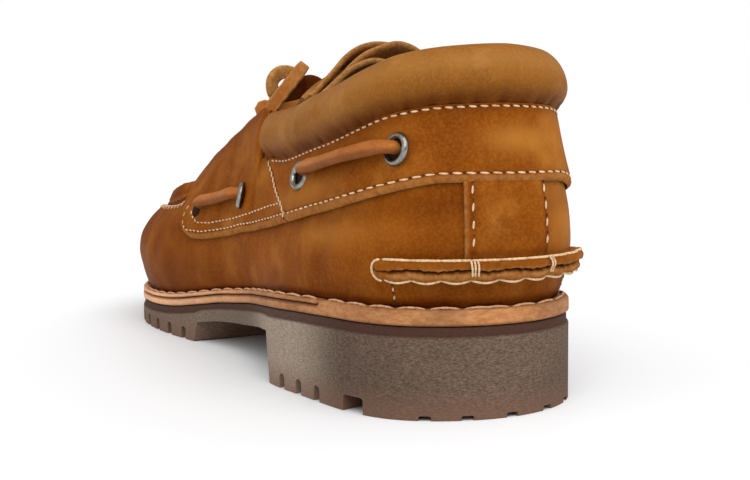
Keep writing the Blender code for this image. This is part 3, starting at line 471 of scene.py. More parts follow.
# The rubber unit: a moulded heel block, a thin waist and a lugged forefoot with toe spring. Its edge is
# sanded after it is cemented on, so it is matt and flecked, and the slots between the lugs keep the darker
# moulded skin.
# Round the sole's edge: across, along, height of the rubber, inset of the upper's foot, then inset and height
# of the upper at each of three levels up.
RING = (
    (3.0, 0.0, 27.5, 3.5, -1.1, 52.0, 1.6, 75.0, 4.2, 92.4),
    (-16.0, 4.4, 27.5, 3.5, -1.1, 52.0, 2.0, 75.0, 5.1, 91.6),
    (-29.5, 14.5, 27.5, 3.5, -0.6, 51.0, 3.1, 73.0, 6.9, 89.3),
    (-38.0, 33.0, 27.4, 3.5, 0.8, 50.0, 4.8, 70.0, 9.5, 84.6),
    (-41.8, 56.0, 26.6, 3.7, 2.7, 48.0, 7.0, 66.0, 11.3, 80.0),
    (-44.8, 80.0, 25.5, 4.6, 5.1, 45.0, 9.2, 62.0, 13.5, 76.4),
    (-42.5, 100.0, 23.6, 3.6, 3.3, 42.0, 7.0, 60.0, 11.3, 74.4),
    (-40.4, 118.0, 21.7, 3.4, 1.5, 40.0, 5.0, 60.0, 8.7, 74.4),
    (-40.0, 122.0, 21.2, 3.3, 1.0, 39.5, 5.0, 66.0, 11.2, 92.6),
    (-40.0, 135.0, 19.6, 3.2, 0.2, 37.5, 4.2, 64.0, 11.5, 89.6),
    (-41.6, 150.0, 17.9, 3.0, -0.4, 36.0, 4.4, 61.0, 13.0, 84.6),
    (-45.8, 170.0, 14.9, 3.0, -0.8, 34.0, 4.8, 56.0, 16.0, 77.0),
    (-49.8, 190.0, 12.1, 3.0, -0.9, 32.5, 4.4, 50.5, 17.6, 68.0),
    (-51.4, 201.0, 11.1, 3.0, -0.9, 31.5, 3.4, 47.0, 15.0, 60.0),
    (-52.5, 216.0, 10.3, 3.0, -0.9, 31.0, 2.5, 44.5, 12.6, 56.0),
    (-50.8, 240.0, 9.8, 3.0, -0.9, 30.0, 2.0, 42.5, 12.0, 53.0),
    (-43.4, 262.0, 10.2, 3.0, -0.9, 29.5, 2.0, 41.0, 12.0, 50.8),
    (-27.0, 284.0, 11.2, 3.0, -0.9, 29.0, 2.2, 39.8, 13.0, 48.6),
    (2.0, 298.6, 12.4, 3.0, -0.9, 28.5, 2.5, 39.0, 14.0, 47.2),
    (29.5, 288.0, 11.6, 3.0, -0.9, 29.0, 2.2, 39.8, 13.0, 48.6),
    (44.5, 268.0, 10.4, 3.0, -0.9, 29.5, 2.0, 41.0, 12.0, 50.8),
    (51.0, 244.0, 9.8, 3.0, -0.9, 30.0, 2.0, 42.5, 12.5, 53.4),
    (52.3, 218.0, 10.3, 3.0, -0.9, 31.5, 2.4, 45.0, 14.0, 56.4),
    (50.0, 203.0, 11.0, 3.0, -1.0, 32.5, 2.8, 48.5, 15.0, 60.6),
    (46.6, 190.0, 12.1, 3.0, -1.2, 34.0, 3.0, 52.0, 15.4, 68.6),
    (40.6, 170.0, 14.9, 3.0, -1.6, 36.5, 2.4, 57.0, 12.6, 77.4),
    (35.4, 150.0, 17.9, 3.0, -1.8, 39.0, 0.8, 61.5, 9.0, 84.8),
    (33.8, 135.0, 19.6, 3.0, -1.7, 41.0, 0.9, 64.5, 7.6, 89.8),
    (33.8, 122.0, 21.2, 3.0, -1.4, 43.5, 1.9, 67.0, 7.3, 92.8),
    (34.0, 118.0, 21.7, 3.0, -1.0, 44.0, 2.2, 61.6, 4.8, 75.4),
    (35.6, 100.0, 23.6, 3.0, -0.1, 46.0, 3.0, 62.0, 6.3, 76.0),
    (38.6, 80.0, 25.5, 3.2, 1.3, 48.0, 4.4, 64.0, 8.3, 77.6),
    (39.8, 56.0, 26.6, 3.5, 0.9, 49.0, 4.6, 67.0, 9.5, 81.2),
    (38.2, 33.0, 27.4, 3.5, 0.6, 50.0, 4.0, 71.0, 8.5, 85.4),
    (32.0, 14.5, 27.5, 3.5, -0.6, 51.0, 2.8, 73.0, 6.7, 89.7),
    (20.5, 4.4, 27.5, 3.5, -1.1, 52.0, 2.0, 75.0, 5.1, 91.8),
)
# Along the sole: place, height of its underside over the ground.
UNDERSIDE = (
    (-8.0, 0.0), (81.0, 0.0), (84.5, 17.4), (96.0, 16.6), (112.0, 14.6), (125.0, 13.0), (140.0, 11.8),
    (154.0, 10.4), (169.0, 8.2), (171.8, 0.4), (176.0, 0.0), (232.0, 0.0), (250.0, 0.5), (270.0, 1.8),
    (285.0, 3.2), (299.0, 4.8), (308.0, 6.4),
)
LUG_DEPTH = 5.0
# Slots at both sides: place along the sole, width, reach in from the edge, rounding of the roof.
SIDE_SLOTS = (
    *((y, 4.0, 17.0, 1.4) for y in (181.0, 194.5, 208.0, 221.5, 235.0, 248.5, 262.0)),
    (70.3, 3.6, 14.0, 1.5), (59.3, 3.6, 14.0, 1.5), (47.6, 3.6, 14.0, 1.5), (28.0, 9.0, 14.0, 1.0),
)
HEEL_NOTCHES = (-38.0, -26.5, -14.0, 0.0, 14.0, 26.5)
HEEL_SLOTS = (22.0, 36.0, 50.0, 64.0)
CROSS_SLOTS = (188.0, 201.5, 215.0, 228.5, 242.0, 255.5, 269.0)
CROSS_TURN = 0.30
RUBBER_BAND = 3.2
TOE = 348.8
TOE_SLOTS = (320.0, TOE, 377.0)
SOLE_END = 298.6

TABLE = np.array(RING, float)
KNOTS = np.append(0, np.cumsum(np.hypot(*np.diff(TABLE[:, :2], axis=0).T)))
AROUND = KNOTS[-1] + float(np.hypot(*(TABLE[0, :2] - TABLE[-1, :2])))


def round_slopes(knots, values, period):
    """Slopes of a smooth closed curve through the values."""
    count = len(knots)
    steps = np.diff(np.append(knots, knots[0] + period))
    matrix = np.zeros((count, count))
    right = np.zeros((count, values.shape[1]))
    for i in range(count):
        before, after, following = steps[i - 1], steps[i], (i + 1) % count
        matrix[i, i - 1] += 1 / before
        matrix[i, i] += 2 * (1 / before + 1 / after)
        matrix[i, following] += 1 / after
        right[i] = 3 * ((values[i] - values[i - 1]) / before**2 + (values[following] - values[i]) / after**2)
    return np.linalg.solve(matrix, right)


def even_slopes(knots, values, period):
    """Slopes that never overshoot the values."""
    steps = np.diff(np.append(knots, knots[0] + period))[:, None]
    after = (np.roll(values, -1, 0) - values) / steps
    before = np.roll(after, 1, 0)
    back = np.roll(steps, 1, 0)
    near, far = 2 * steps + back, steps + 2 * back
    mean = near / np.where(before == 0, 1e-9, before) + far / np.where(after == 0, 1e-9, after)
    return np.where(after * before > 0, (near + far) / np.where(mean == 0, 1e-9, mean), 0)


SLOPES = np.hstack([round_slopes(KNOTS, TABLE[:, :2], AROUND), even_slopes(KNOTS, TABLE[:, 2:], AROUND)])


def ring_row(at):
    """Sole edge, rubber height and the upper's four levels at arc positions round the sole."""
    at = np.mod(np.atleast_1d(np.asarray(at, float)), AROUND)
    first = np.searchsorted(KNOTS, at, side="right") - 1
    second = (first + 1) % len(KNOTS)
    step = (np.where(second == 0, AROUND, KNOTS[second]) - KNOTS[first])[:, None]
    u = (at - KNOTS[first])[:, None] / step
    return (
        TABLE[first] * (1 + 2 * u) * (1 - u) ** 2 + TABLE[second] * u * u * (3 - 2 * u)
        + step * SLOPES[first] * u * (1 - u) ** 2 + step * SLOPES[second] * u * u * (u - 1)
    )


def inward(at):
    at = np.atleast_1d(np.asarray(at, float))
    along = ring_row(at + 0.5)[:, :2] - ring_row(at - 0.5)[:, :2]
    along /= np.hypot(along[:, 0], along[:, 1])[:, None]
    return np.column_stack([along[:, 1], -along[:, 0]])


def arc_at(y, inner):
    arcs = np.linspace(AROUND if inner else 0.0, TOE, 900)
    return float(np.interp(y, ring_row(arcs)[:, 1], arcs))


def underside(y):
    return float(np.interp(y, [row[0] for row in UNDERSIDE], [row[1] for row in UNDERSIDE]))


def edge_point(arc):
    """A point of the sole's edge, and the way in from it."""
    return ring_row(arc)[0, :2], inward(arc)[0]


def sole_slab(name, stations, profile, mask):
    """A slab on the sole's outline. profile gives (inset, height, mask) up its edge at each station."""
    places, painted = [], []
    for y in stations:
        sides = []
        for inner in (False, True):
            arc = {0.0: 0.0, SOLE_END: TOE}.get(y, arc_at(y, inner))
            edge, normal = edge_point(arc)
            sides.append([[*(edge + normal * inset), height] for inset, height, _ in profile(y)])
        places.append(sides[0] + sides[1][::-1])
        values = [value for _, _, value in profile(y)]
        painted.append(values + values[::-1])
    return laid_grid(name, np.array(places), {mask: np.array(painted)}, round_columns=True, capped=True)


def slot_cutter(made, centre, size, turn, top_round):
    """A slot between lugs: long, upright and rounded at its roof."""
    cube = bmesh.ops.create_cube(made, size=1)["verts"]
    upper = [edge for edge in {e for v in cube for e in v.link_edges} if all(v.co.z > 0 for v in edge.verts)]
    roof = [edge for edge in upper if abs(edge.verts[0].co.x - edge.verts[1].co.x) > 0.5]
    bmesh.ops.transform(made, matrix=Matrix.Diagonal((*size, 1)), verts=cube)
    bevelled = bmesh.ops.bevel(
        made, geom=roof, offset=top_round, offset_type="OFFSET", segments=3, profile=0.5, affect="EDGES",
        material=-1
    )
    parts = list({v for v in cube if v.is_valid} | set(bevelled["verts"]))
    place = Matrix.Translation(Vector(centre)) @ Matrix.Rotation(turn, 4, "Z")
    bmesh.ops.transform(made, matrix=place, verts=parts)


def edge_slot(made, arc, inset, length, width, high, top_round):
    """A slot that runs in from the sole's edge, up to a height over the ground."""
    edge, normal = edge_point(arc)
    turn = math.atan2(normal[1], normal[0])
    slot_cutter(
        made, (*(edge + normal * inset), high / 2 - 1.0), (length, width, high + 2.0), turn, top_round
    )


def tool_from(name, made):
    """A cutter from a mesh in the making, brought from heel measures to metres."""
    to_metres = Matrix.Diagonal((MM, MM, MM, 1)) @ Matrix.Translation(Vector(HEEL))
    bmesh.ops.transform(made, matrix=to_metres, verts=made.verts)
    bmesh.ops.recalc_face_normals(made, faces=made.faces)
    return bare_object(name, made)


def tread_cutters():
    made = bmesh.new()
    for inner in (False, True):
        for y, width, reach, curve in SIDE_SLOTS:
            high = LUG_DEPTH + underside(y)
            edge_slot(made, arc_at(y, inner), reach / 2 - 2.0, reach + 4.0, width, high, curve)
    for arc in HEEL_NOTCHES:
        edge, normal = edge_point(arc)
        slot_cutter(made, (*(edge + normal), 0.0), (6.0, 3.8, 2.8), math.atan2(normal[1], normal[0]), 0.6)
    for arc in TOE_SLOTS:
        edge_slot(made, arc, 6.5, 21.0, 4.0, LUG_DEPTH + underside(edge_point(arc)[0][1]), 1.4)
    for i, y in enumerate(CROSS_SLOTS):
        high = LUG_DEPTH + underside(y)
        size = (74.0 - 4.5 * abs(i - 2.5), 4.0, high + 2)
        slot_cutter(made, (1.0, y, high / 2 - 1), size, CROSS_TURN if i % 2 else -CROSS_TURN, 1.2)
    for y in HEEL_SLOTS:
        slot_cutter(made, (-1.0, y, LUG_DEPTH / 2 - 1), (46.0, 3.4, LUG_DEPTH + 2), 0.0, 1.2)
    return tool_from("tread_slots", made)


def channel_cutter(name, arcs, near, far):
    """The groove that runs along the lugs, parallel to the sole's edge."""
    places = []
    for arc in arcs:
        edge, normal = edge_point(arc)
        top = LUG_DEPTH + underside(edge[1])
        section = (
            (near, -2.0), (near, top - 1), (near + 0.6, top), (far - 0.6, top), (far, top - 1), (far, -2.0)
        )
        places.append([[*(edge + normal * inset), z] for inset, z in section])
    return laid_grid(name, np.array(places), round_columns=True, capped=True)


def arch_cutter():
    """Everything under the sole's lower line: the arch, both breasts and the toe spring."""
    aside = 70
    line = [*UNDERSIDE, (308, -6), (-8, -6)]
    made = bmesh.new()
    face = made.faces.new([made.verts.new((-aside, y, z)) for y, z in line])
    bent = bmesh.ops.extrude_face_region(made, geom=[face])
    far_side = [v for v in bent["geom"] if isinstance(v, bmesh.types.BMVert)]
    bmesh.ops.translate(made, verts=far_side, vec=(2 * aside, 0, 0))
    return tool_from("arch", made)


def rubber(name, sanded):
    """Sanded rubber is pale and flecked along the sole. Moulded rubber is smooth and reddish brown."""
    made, tree, shader = new_surface(name, 0.86 if sanded else 0.6, 0.22)
    place = object_place(tree)
    slow = noise(tree, place, 22.0, 3.0)
    fine = noise(tree, place, 1500.0, 3.0, 0.7)
    if not sanded:
        dress(tree, shader, mix(tree, slow, (0.050, 0.016, 0.008, 1), (0.085, 0.030, 0.016, 1)), fine, 0.0001)
        return made
    fleck = noise(tree, stretched(tree, place, 2.6), 900.0, 4.0, 0.7)
    pale = spread(tree, fleck, 0.36, 0.68)
    color = mix(tree, pale, (0.066, 0.039, 0.026, 1), (0.18, 0.122, 0.086, 1))
    broad = spread(tree, slow, 0.35, 0.65, 0.82, 1.12)
    color = join(tree, "ShaderNodeVectorMath", {0: color, "Scale": broad}, operation="SCALE").outputs[0]
    # Chalk from the sanding stays on the outer flank, most of it towards the heel.
    apart = join(tree, "ShaderNodeSeparateXYZ", {0: place}).outputs
    chalky = spread(tree, apart["Y"], -0.118, -0.082, 0.0, 0.85, "SMOOTHSTEP")
    outer = spread(tree, apart["X"], -0.028, -0.036, 0.0, 1.0, "SMOOTHSTEP")
    heel_end = spread(tree, apart["Y"], -0.066, -0.030, 1.0, 0.25, "SMOOTHSTEP")
    chalky = sums(tree, "MULTIPLY", sums(tree, "MULTIPLY", chalky, outer), heel_end)
    color = mix(tree, chalky, color, mix(tree, pale, (0.24, 0.182, 0.136, 1), (0.47, 0.385, 0.300, 1)))
    low = spread(tree, apart["Z"], 0.0015, 0.0095, 0.62, 0.0)
    color = mix(tree, low, color, (0.175, 0.088, 0.055, 1))
    # The top band under the midsole is painted dark: its smooth moulded skin, and painted shade under the
    # midsole's edge.
    band = join(tree, "ShaderNodeAttribute", attribute_name="band").outputs["Fac"]
    band_skin_and_shade = sums(tree, "MULTIPLY", band, spread(tree, fine, 0.3, 0.7, 0.8, 1.0))
    dress(tree, shader, mix(tree, band_skin_and_shade, color, (0.058, 0.022, 0.013, 1)), fleck, 0.00030)
    return made


def even_stations(count, first=0.0, last=SOLE_END):
    """Stations along the sole, close together where the heel and the toe turn."""
    share = 0.5 - 0.5 * np.cos(np.linspace(0, math.pi, count))
    return [float(y) for y in first + (last - first) * share]


def outsole():
    def profile(y):
        top = float(ring_row(arc_at(y, False))[0, 2])
        under = underside(y)
        deep = min(RUBBER_BAND, (top - under) * 0.35)
        wall = [
            (0.0, (top - deep - 0.4) * part, 0) for part in (0.0, 0.14, 0.28, 0.42, 0.56, 0.72, 0.86, 1.0)
        ]
        return (
            *wall, (0.1, top - deep, 0.25), (0.7, top - deep + 0.5, 1), (0.75, top - 0.2, 1), (1.0, top, 1)
        )

    sanded, moulded = rubber("sanded_rubber", True), rubber("moulded_rubber", False)
    piece = sole_slab("rubber_sole", even_stations(120), profile, "band")
    piece.data.materials.append(sanded)
    fore = np.linspace(arc_at(176.0, False), arc_at(176.0, True), 60)
    back = np.append(np.linspace(arc_at(79.0, True), AROUND, 22), np.linspace(4, arc_at(79.0, False), 21))
    channels = (("fore_channel", fore, 15.0, 18.6), ("heel_channel", back, 12.0, 15.2))
    for cutter in (arch_cutter(), tread_cutters(), *(channel_cutter(*channel) for channel in channels)):
        cutter.data.materials.append(moulded)
        cut = piece.modifiers.new(cutter.name, "BOOLEAN")
        cut.operation, cut.solver, cut.object, cut.material_mode = "DIFFERENCE", "EXACT", cutter, "TRANSFER"
        cut.use_self = cutter.name == "tread_slots"
        bpy.context.view_layer.update()
        mesh = bpy.data.meshes.new_from_object(piece.evaluated_get(bpy.context.evaluated_depsgraph_get()))
        piece.modifiers.clear()
        piece.data = mesh
        bpy.data.objects.remove(cutter)
    for face in piece.data.polygons:
        face.use_smooth = True
    return finish_piece(piece, (sanded, moulded), "rubber", "outsole", sharp=32)


outsole()


# The midsole and the welt: vegetable-tanned leather, its cut edge trimmed and left natural. The welt is a
# thin rand laid on the midsole from the waist round the toe and stitched through; at the heel the stitches
# lie on the midsole.
MIDSOLE_THICK = 5.2
WELT_THICK = 1.5
WELT_START = 46.0
WELT_PITCH = 10.2
GAP = 0.3


def natural_edge(name):
    """A cut and trimmed leather edge: fibres that lie along it, brighter and paler towards the front."""
    made, tree, shader = new_surface(name, 0.62, 0.3)
    place = object_place(tree)
    fibres = noise(tree, stretched(tree, place, 2.4), 320.0, 5.0, 0.7)
    slow = noise(tree, place, 45.0, 3.0)
    color = mix(tree, spread(tree, fibres, 0.32, 0.68), (0.31, 0.105, 0.026, 1), (0.49, 0.225, 0.082, 1))
    along = join(tree, "ShaderNodeSeparateXYZ", {0: place}).outputs["Y"]
    front = spread(tree, along, -0.04, 0.05, 1.0, 1.75)
    broad = sums(tree, "MULTIPLY", spread(tree, slow, 0.35, 0.65, 0.80, 1.14), front)
    color = join(tree, "ShaderNodeVectorMath", {0: color, "Scale": broad}, operation="SCALE").outputs[0]
    front_pale = spread(tree, front, 1.0, 1.75, 0.0, 0.34)
    color = mix(tree, front_pale, color, (0.92, 0.62, 0.42, 1))
    line = join(tree, "ShaderNodeAttribute", attribute_name="line").outputs["Fac"]
    dress(tree, shader, mix(tree, line, color, (0.135, 0.045, 0.016, 1)), fibres, 0.00035)
    return made


natural_leather = natural_edge("natural_sole_leather")


def edge_ring(name, arcs, sections, closed=True):
    """A band along the sole's edge. sections gives (inset, height over the rubber, mask) at each arc."""
    row, normal = ring_row(arcs), inward(arcs)
    places, painted = [], []
    for i, arc in enumerate(arcs):
        section = sections(arc, row[i])
        places.append(
            [[*(row[i, :2] + normal[i] * inset), row[i, 2] + height] for inset, height, _ in section]
        )
        painted.append([mask for _, _, mask in section])
    return laid_grid(
        name, np.array(places), {"line": np.array(painted)}, round_rows=closed, round_columns=True,
        capped=not closed,
    )


def midsole():
    def section(arc, row):
        low = GAP
        heel, fore = MIDSOLE_THICK, MIDSOLE_THICK - WELT_THICK - GAP
        share = float(np.clip((row[1] - 45.4) / 1.6, 0, 1))
        top = heel * (1 - share) + fore * share
        sag = 0.10 * math.sin(arc * 0.31) + 0.07 * math.sin(arc * 0.83 + 1)
        half = (low + top) * 0.5
        groove = 0.35 * share
        return (
            (14.0, low, 0), (0.75, low, 0.8), (0.22 + sag, low + 0.35, 0.35), (0.02 + sag, low + 0.9, 0),
            (0.0 + sag, half, 0),
            (0.04 + sag, top - 0.9, 0), (0.12 + sag + groove, top - 0.45, 0.1 + 0.5 * share),
            (0.55 + groove, top - 0.05, 0.1 + 0.6 * share), (1.1, top, 0.1), (14.0, top, 0.5),
        )

    piece = edge_ring("leather_midsole", np.linspace(0, AROUND, 460, endpoint=False), section)
    finish_piece(piece, natural_leather, "sole_leather", "midsole")


def welt():
    arcs = np.linspace(arc_at(WELT_START + 2.0, False), arc_at(WELT_START + 2.0, True), 430)

    def section(arc, _):
        high, low = MIDSOLE_THICK, MIDSOLE_THICK - WELT_THICK
        wave = 0.5 + 0.5 * math.cos(2 * math.pi * arc / WELT_PITCH)
        sag = 0.08 * math.sin(arc * 0.57) + 0.06 * math.sin(arc * 1.3)
        dip = 0.22 * wave
        return (
            (9.0, low, 0), (0.9, low, 0.9), (0.30 + sag, low + 0.30, 0.3), (0.16 + sag, low + 0.75, 0),
            (0.28 + sag, high - 0.3, 0),
            (0.75 + sag, high + 0.02, 0), (1.3, high - dip, 0.1), (1.9, high - dip * 1.3, 0.35),
            (2.8, high - dip * 0.5, 0.3), (9.0, high - 0.1, 0.7),
        )

    piece = edge_ring("stitched_welt", arcs, section, closed=False)
    finish_piece(piece, natural_leather, "sole_leather", "welt")


midsole()
welt()


# The footbed: a thin cushioned leather sock, glued down over the midsole inside the upper. Its edge is rolled
# a little where it meets the wall.
def footbed():
    def profile(y):
        low = float(ring_row(arc_at(y, False))[0, 2]) + MIDSOLE_THICK + GAP
        # The mask darkens the rolled edge where it meets the wall: painted shade.
        return (
            (8.0, low, 1), (7.4, low + 1.2, 1), (7.5, low + 2.6, 0.6), (8.0, low + 3.2, 0.2),
            (12.0, low + 3.15, 0), (18.0, low + 3.0, 0),
        )

    sock = leather(
        "sock_leather", 0.08, 0.00015, Deep=(0.13, 0.055, 0.022, 1), Body=(0.24, 0.115, 0.05, 1),
        Rubbed=(0.33, 0.18, 0.09, 1), Blotch=20.0, Rubbing=0.4,
    )
    piece = sole_slab("leather_footbed", even_stations(70, 1.0, 297.8), profile, "burnish_and_shade")
    finish_piece(piece, sock, "insole_leather", "insole", sharp=60)


footbed()


# The upper: vamp and quarters of one thick oiled leather, lasted over the foot and tucked behind the welt.
# Round the toe its raw cut edge stands up along the hand-sewn seam, and inside it is the bare flesh side.
LEVELS = (0.0, 0.33, 0.68, 1.0)
WALL = 2.2
RISE = 55.0
# Along half of the toe seam: arc, share up the upper.
SEAM = (
    (196.0, 0.70), (204.0, 0.72), (211.4, 0.755), (222.0, 0.80), (233.5, 0.855), (256.0, 0.93),
    (290.0, 0.965), (TOE, 0.972),
)
# Soft creases, listed: where each starts and ends (arc, share up the upper), depth and width.
CREASES = (
    (236.0, 0.30, 228.0, 0.62, -0.35, 4.5), (243.0, 0.26, 238.0, 0.56, 0.30, 4.0),
    (216.0, 0.18, 210.0, 0.40, -0.30, 5.0), (176.0, 0.12, 168.0, 0.42, -0.28, 6.0),
    (150.0, 0.20, 146.0, 0.46, 0.22, 6.0), (96.0, 0.14, 92.0, 0.47, -0.30, 5.0),
    (80.0, 0.20, 76.0, 0.50, 0.25, 5.0), (70.0, 0.16, 68.0, 0.46, -0.22, 4.0),
    (120.0, 0.08, 104.0, 0.16, -0.35, 3.5), (62.0, 0.05, 46.0, 0.09, -0.25, 3.0),
    (448.0, 0.30, 458.0, 0.62, -0.35, 4.5), (462.0, 0.22, 470.0, 0.52, 0.28, 4.5),
    (516.0, 0.15, 524.0, 0.44, -0.28, 6.0), (598.0, 0.16, 602.0, 0.46, -0.28, 5.0),
    (618.0, 0.14, 622.0, 0.48, 0.22, 5.0),
)
# Over the raw edge at the toe seam: step up the upper, height off it, how raw it is.
CUT_EDGE = (
    (-0.012, 0.80, 0.2), (-0.004, 0.70, 0.9), (0.001, 0.30, 1.0), (0.003, -0.55, 1.0), (0.010, -0.95, 0.1),
)
# The same places round the outer side and round the inner side, for side_arc.
OUTER_ARCS = (0.0, 142.5, 146.5, 226.5, 349.0)
INNER_ARCS = (0.0, 138.2, 142.2, 225.3, 346.0)
STEP_UP = (137.0, 152.0)


def through_levels(share, four):
    """A natural cubic up the four lines of the section."""
    knots = np.array(LEVELS)
    steps = np.diff(knots)
    matrix = np.array([[2 * (steps[0] + steps[1]), steps[1]], [steps[1], 2 * (steps[1] + steps[2])]])
    curve = np.zeros_like(four)
    curve[:, 1:3] = np.linalg.solve(matrix, (6 * np.diff(np.diff(four, axis=1) / steps, axis=1)).T).T
    span = np.clip(np.searchsorted(knots, share, side="right") - 1, 0, 2)
    rows = np.arange(len(four))
    step = steps[span]
    a, b = (knots[span + 1] - share) / step, (share - knots[span]) / step
    bent = (a**3 - a) * curve[rows, span] + (b**3 - b) * curve[rows, span + 1]
    return a * four[rows, span] + b * four[rows, span + 1] + bent * step * step / 6


def skin(at, share, off=0.0):
    """Points on the outside of the upper, moved out by off."""
    at = np.atleast_1d(np.asarray(at, float))
    share = np.broadcast_to(np.asarray(share, float), at.shape)
    off = np.broadcast_to(np.asarray(off, float), at.shape)
    row, normal = ring_row(at), inward(at)
    inset = through_levels(share, row[:, [3, 4, 6, 8]])
    foot = row[:, 2] + MIDSOLE_THICK + GAP
    levels = np.column_stack([foot, row[:, 5], row[:, 7], row[:, 9]])
    points = np.column_stack([row[:, :2] + normal * inset[:, None], through_levels(share, levels)])
    if not np.any(off):
        return points
    up = skin(at, np.clip(share + 0.01, 0, 1)) - skin(at, np.clip(share - 0.01, 0, 1))
    out = np.cross(skin(at + 1.0, share) - skin(at - 1.0, share), up)
    out /= np.linalg.norm(out, axis=1)[:, None]
    turned = -(out[:, :2] * normal).sum(axis=1) + 0.3 * out[:, 2]
    return points + out * np.where(turned < 0, -1, 1)[:, None] * off[:, None]


def side_arc(at, inner):
    """An outer-side arc position, or its match on the inner side."""
    return AROUND - np.interp(at, OUTER_ARCS, INNER_ARCS) if inner else at


def share_at(at, height):
    """The share up the upper that stands at each height, at arc positions."""
    at, height = np.atleast_1d(at), np.atleast_1d(height)
    shares = np.linspace(0, 1, 121)
    return np.array([np.interp(h, skin(np.full(121, a), shares)[:, 2], shares) for a, h in zip(at, height)])


def levelled(points, inner):
    """Keeps a line of (outer arc, share) even in height where the top line steps up to the facing."""
    pairs = np.array(sorted(points), float)
    ends = np.interp(STEP_UP, pairs[:, 0], pairs[:, 1])
    heights = [skin(side_arc(a, inner), b)[0, 2] for a, b in zip(STEP_UP, ends)]
    arcs = np.arange(STEP_UP[0], STEP_UP[1] + 0.1, 1.0)
    shares = share_at([side_arc(a, inner) for a in arcs], np.interp(arcs, STEP_UP, heights))
    kept = [tuple(pair) for pair in pairs if not STEP_UP[0] <= pair[0] <= STEP_UP[1]]
    return sorted(kept + list(zip(arcs, shares)), reverse=True)


def fade(value, low, high):
    share = np.clip((np.asarray(value, float) - low) / (high - low), 0, 1)
    return share * share * (3 - 2 * share)


def hump(value, middle, wide):
    """A soft hump that is 1 at its middle."""
    return np.exp(-(((value - middle) / wide) ** 2))


def patch(at, middle, long, share, height, tall):
    """A soft-edged patch on the upper that is 1 at its middle."""
    return np.exp(-(((at - middle) / long) ** 2) - (((share - height) / tall) ** 2))


def seam_share(at):
    """Height of the toe seam on the upper, and how much of it there is, at arc positions."""
    at = np.minimum(at, AROUND - at)
    return np.interp(at, [row[0] for row in SEAM], [row[1] for row in SEAM]), fade(at, 203.0, 209.0)


def creased(at, share):
    """Depth of the listed creases at points of the upper."""
    depth = np.zeros(np.shape(at))
    for s0, v0, s1, v1, deep, wide in CREASES:
        x0, z0, x1, z1 = s0, v0 * RISE, s1, v1 * RISE
        run = (x1 - x0) ** 2 + (z1 - z0) ** 2
        u = np.clip(((at - x0) * (x1 - x0) + (share * RISE - z0) * (z1 - z0)) / run, 0, 1)
        away = np.hypot(at - x0 - u * (x1 - x0), share * RISE - z0 - u * (z1 - z0))
        depth += deep * np.exp(-((away / wide) ** 2)) * np.sin(math.pi * np.clip(u, 0.02, 0.98)) ** 0.5
    return depth


tan_leather = leather("tan_upper_leather", 0.015, 0.00017)


def vamp_and_quarters():
    # The columns stand closer where the top line steps up to the facing.
    steps = [np.arange(140.5, 148.5, 0.6), np.arange(550.4, 558.4, 0.6)]
    arcs = np.unique(np.concatenate([np.arange(0, AROUND - 0.5, 1.9), *steps]).round(3))
    side = np.minimum(arcs, AROUND - arcs)
    line, there = seam_share(arcs)
    line = line * there + 0.975 * (1 - there)
    ups = np.linspace(0, 1, 34)[:-1]
    shares = [line * u for u in ups]
    offs = [0.75 * there * fade(u, 0.55, 0.95) for u in ups]
    raws = [np.zeros(len(arcs)) for _ in shares]
    for step, off, raw in CUT_EDGE:
        shares.append(line + step * there)
        offs.append(off * there)
        raws.append(raw * there)
    for u in np.linspace(0.12, 1, 9):
        shares.append(np.minimum(1.0, line + 0.010 * there + (1 - line - 0.010 * there) * u))
        offs.append(-0.95 * there * (1 - u))
        raws.append(np.zeros(len(arcs)))
    places, raw_mask, burnish_and_shade_mask, painted_highlight_mask = [], [], [], []
    for share, off, raw in zip(shares, offs, raws):
        share = np.clip(share, 0, 1)
        creases = creased(arcs, share)
        lump = creases + 0.12 * np.sin(arcs * 0.21 + share * 9) * np.sin(share * 17 + arcs * 0.05)
        places.append(skin(arcs, share, off + lump * fade(share, 0.0, 0.1) * (1 - fade(share, 0.9, 0.98))))
        raw_mask.append(raw)
        # Painted shade: darker towards the foot of the upper along the welt, towards the toe and in a patch
        # at the outer heel.
        low = 0.85 * (1 - fade(share, 0.0, 0.07)) + 0.30 * (1 - fade(share, 0.0, 0.32))
        low = low + 0.30 * fade(side, 140, 230) + 0.16 * hump(arcs, 22, 9)
        # Painted shade under the band's edge, above the toe seam under the plug's lip, in a soft patch low on
        # the outer forefoot and in the crease troughs.
        under_band = 0.30 * hump(share, 0.50, 0.05) * (1 - fade(side, 196, 208))
        above = 0.55 * fade(share, line, line + 0.02) * there
        shade_patch = 0.35 * patch(arcs, 196, 10, share, 0.28, 0.10)
        burnish_and_shade_mask.append(np.clip(low + under_band + above + shade_patch - np.clip(creases, -1, 0) * 0.5, 0, 1))
        # Painted highlights on both quarters, at the back of the inner side and round the toe.
        light = 0.50 * patch(side, 64, 24, share, 0.40, 0.08)
        light = light + 0.75 * patch(arcs, AROUND - 24, 11, share, 0.45, 0.2)
        painted_highlight_mask.append(light + 0.22 * patch(side, 345, 60, share, 0.55, 0.12))
    for share in np.linspace(1, 0, 14):
        off = -WALL if share > 0 else -WALL * 0.9
        inner = skin(arcs, share, off)
        inner[:, 2] = places[0][:, 2] if share == 0 else inner[:, 2]
        places.append(inner)
        # Inside: the raw flesh side, darkened with painted shade.
        raw_mask.append(np.full(len(arcs), 0.7))
        burnish_and_shade_mask.append(np.full(len(arcs), 0.35))
        painted_highlight_mask.append(np.zeros(len(arcs)))
    masks = {"raw": np.array(raw_mask), "burnish_and_shade": np.array(burnish_and_shade_mask), "light": np.array(painted_highlight_mask)}
    piece = laid_grid("vamp_and_quarters", np.array(places), masks, round_rows=True, round_columns=True)
    finish_piece(piece, tan_leather, "upper_leather", "upper", sharp=70)


vamp_and_quarters()


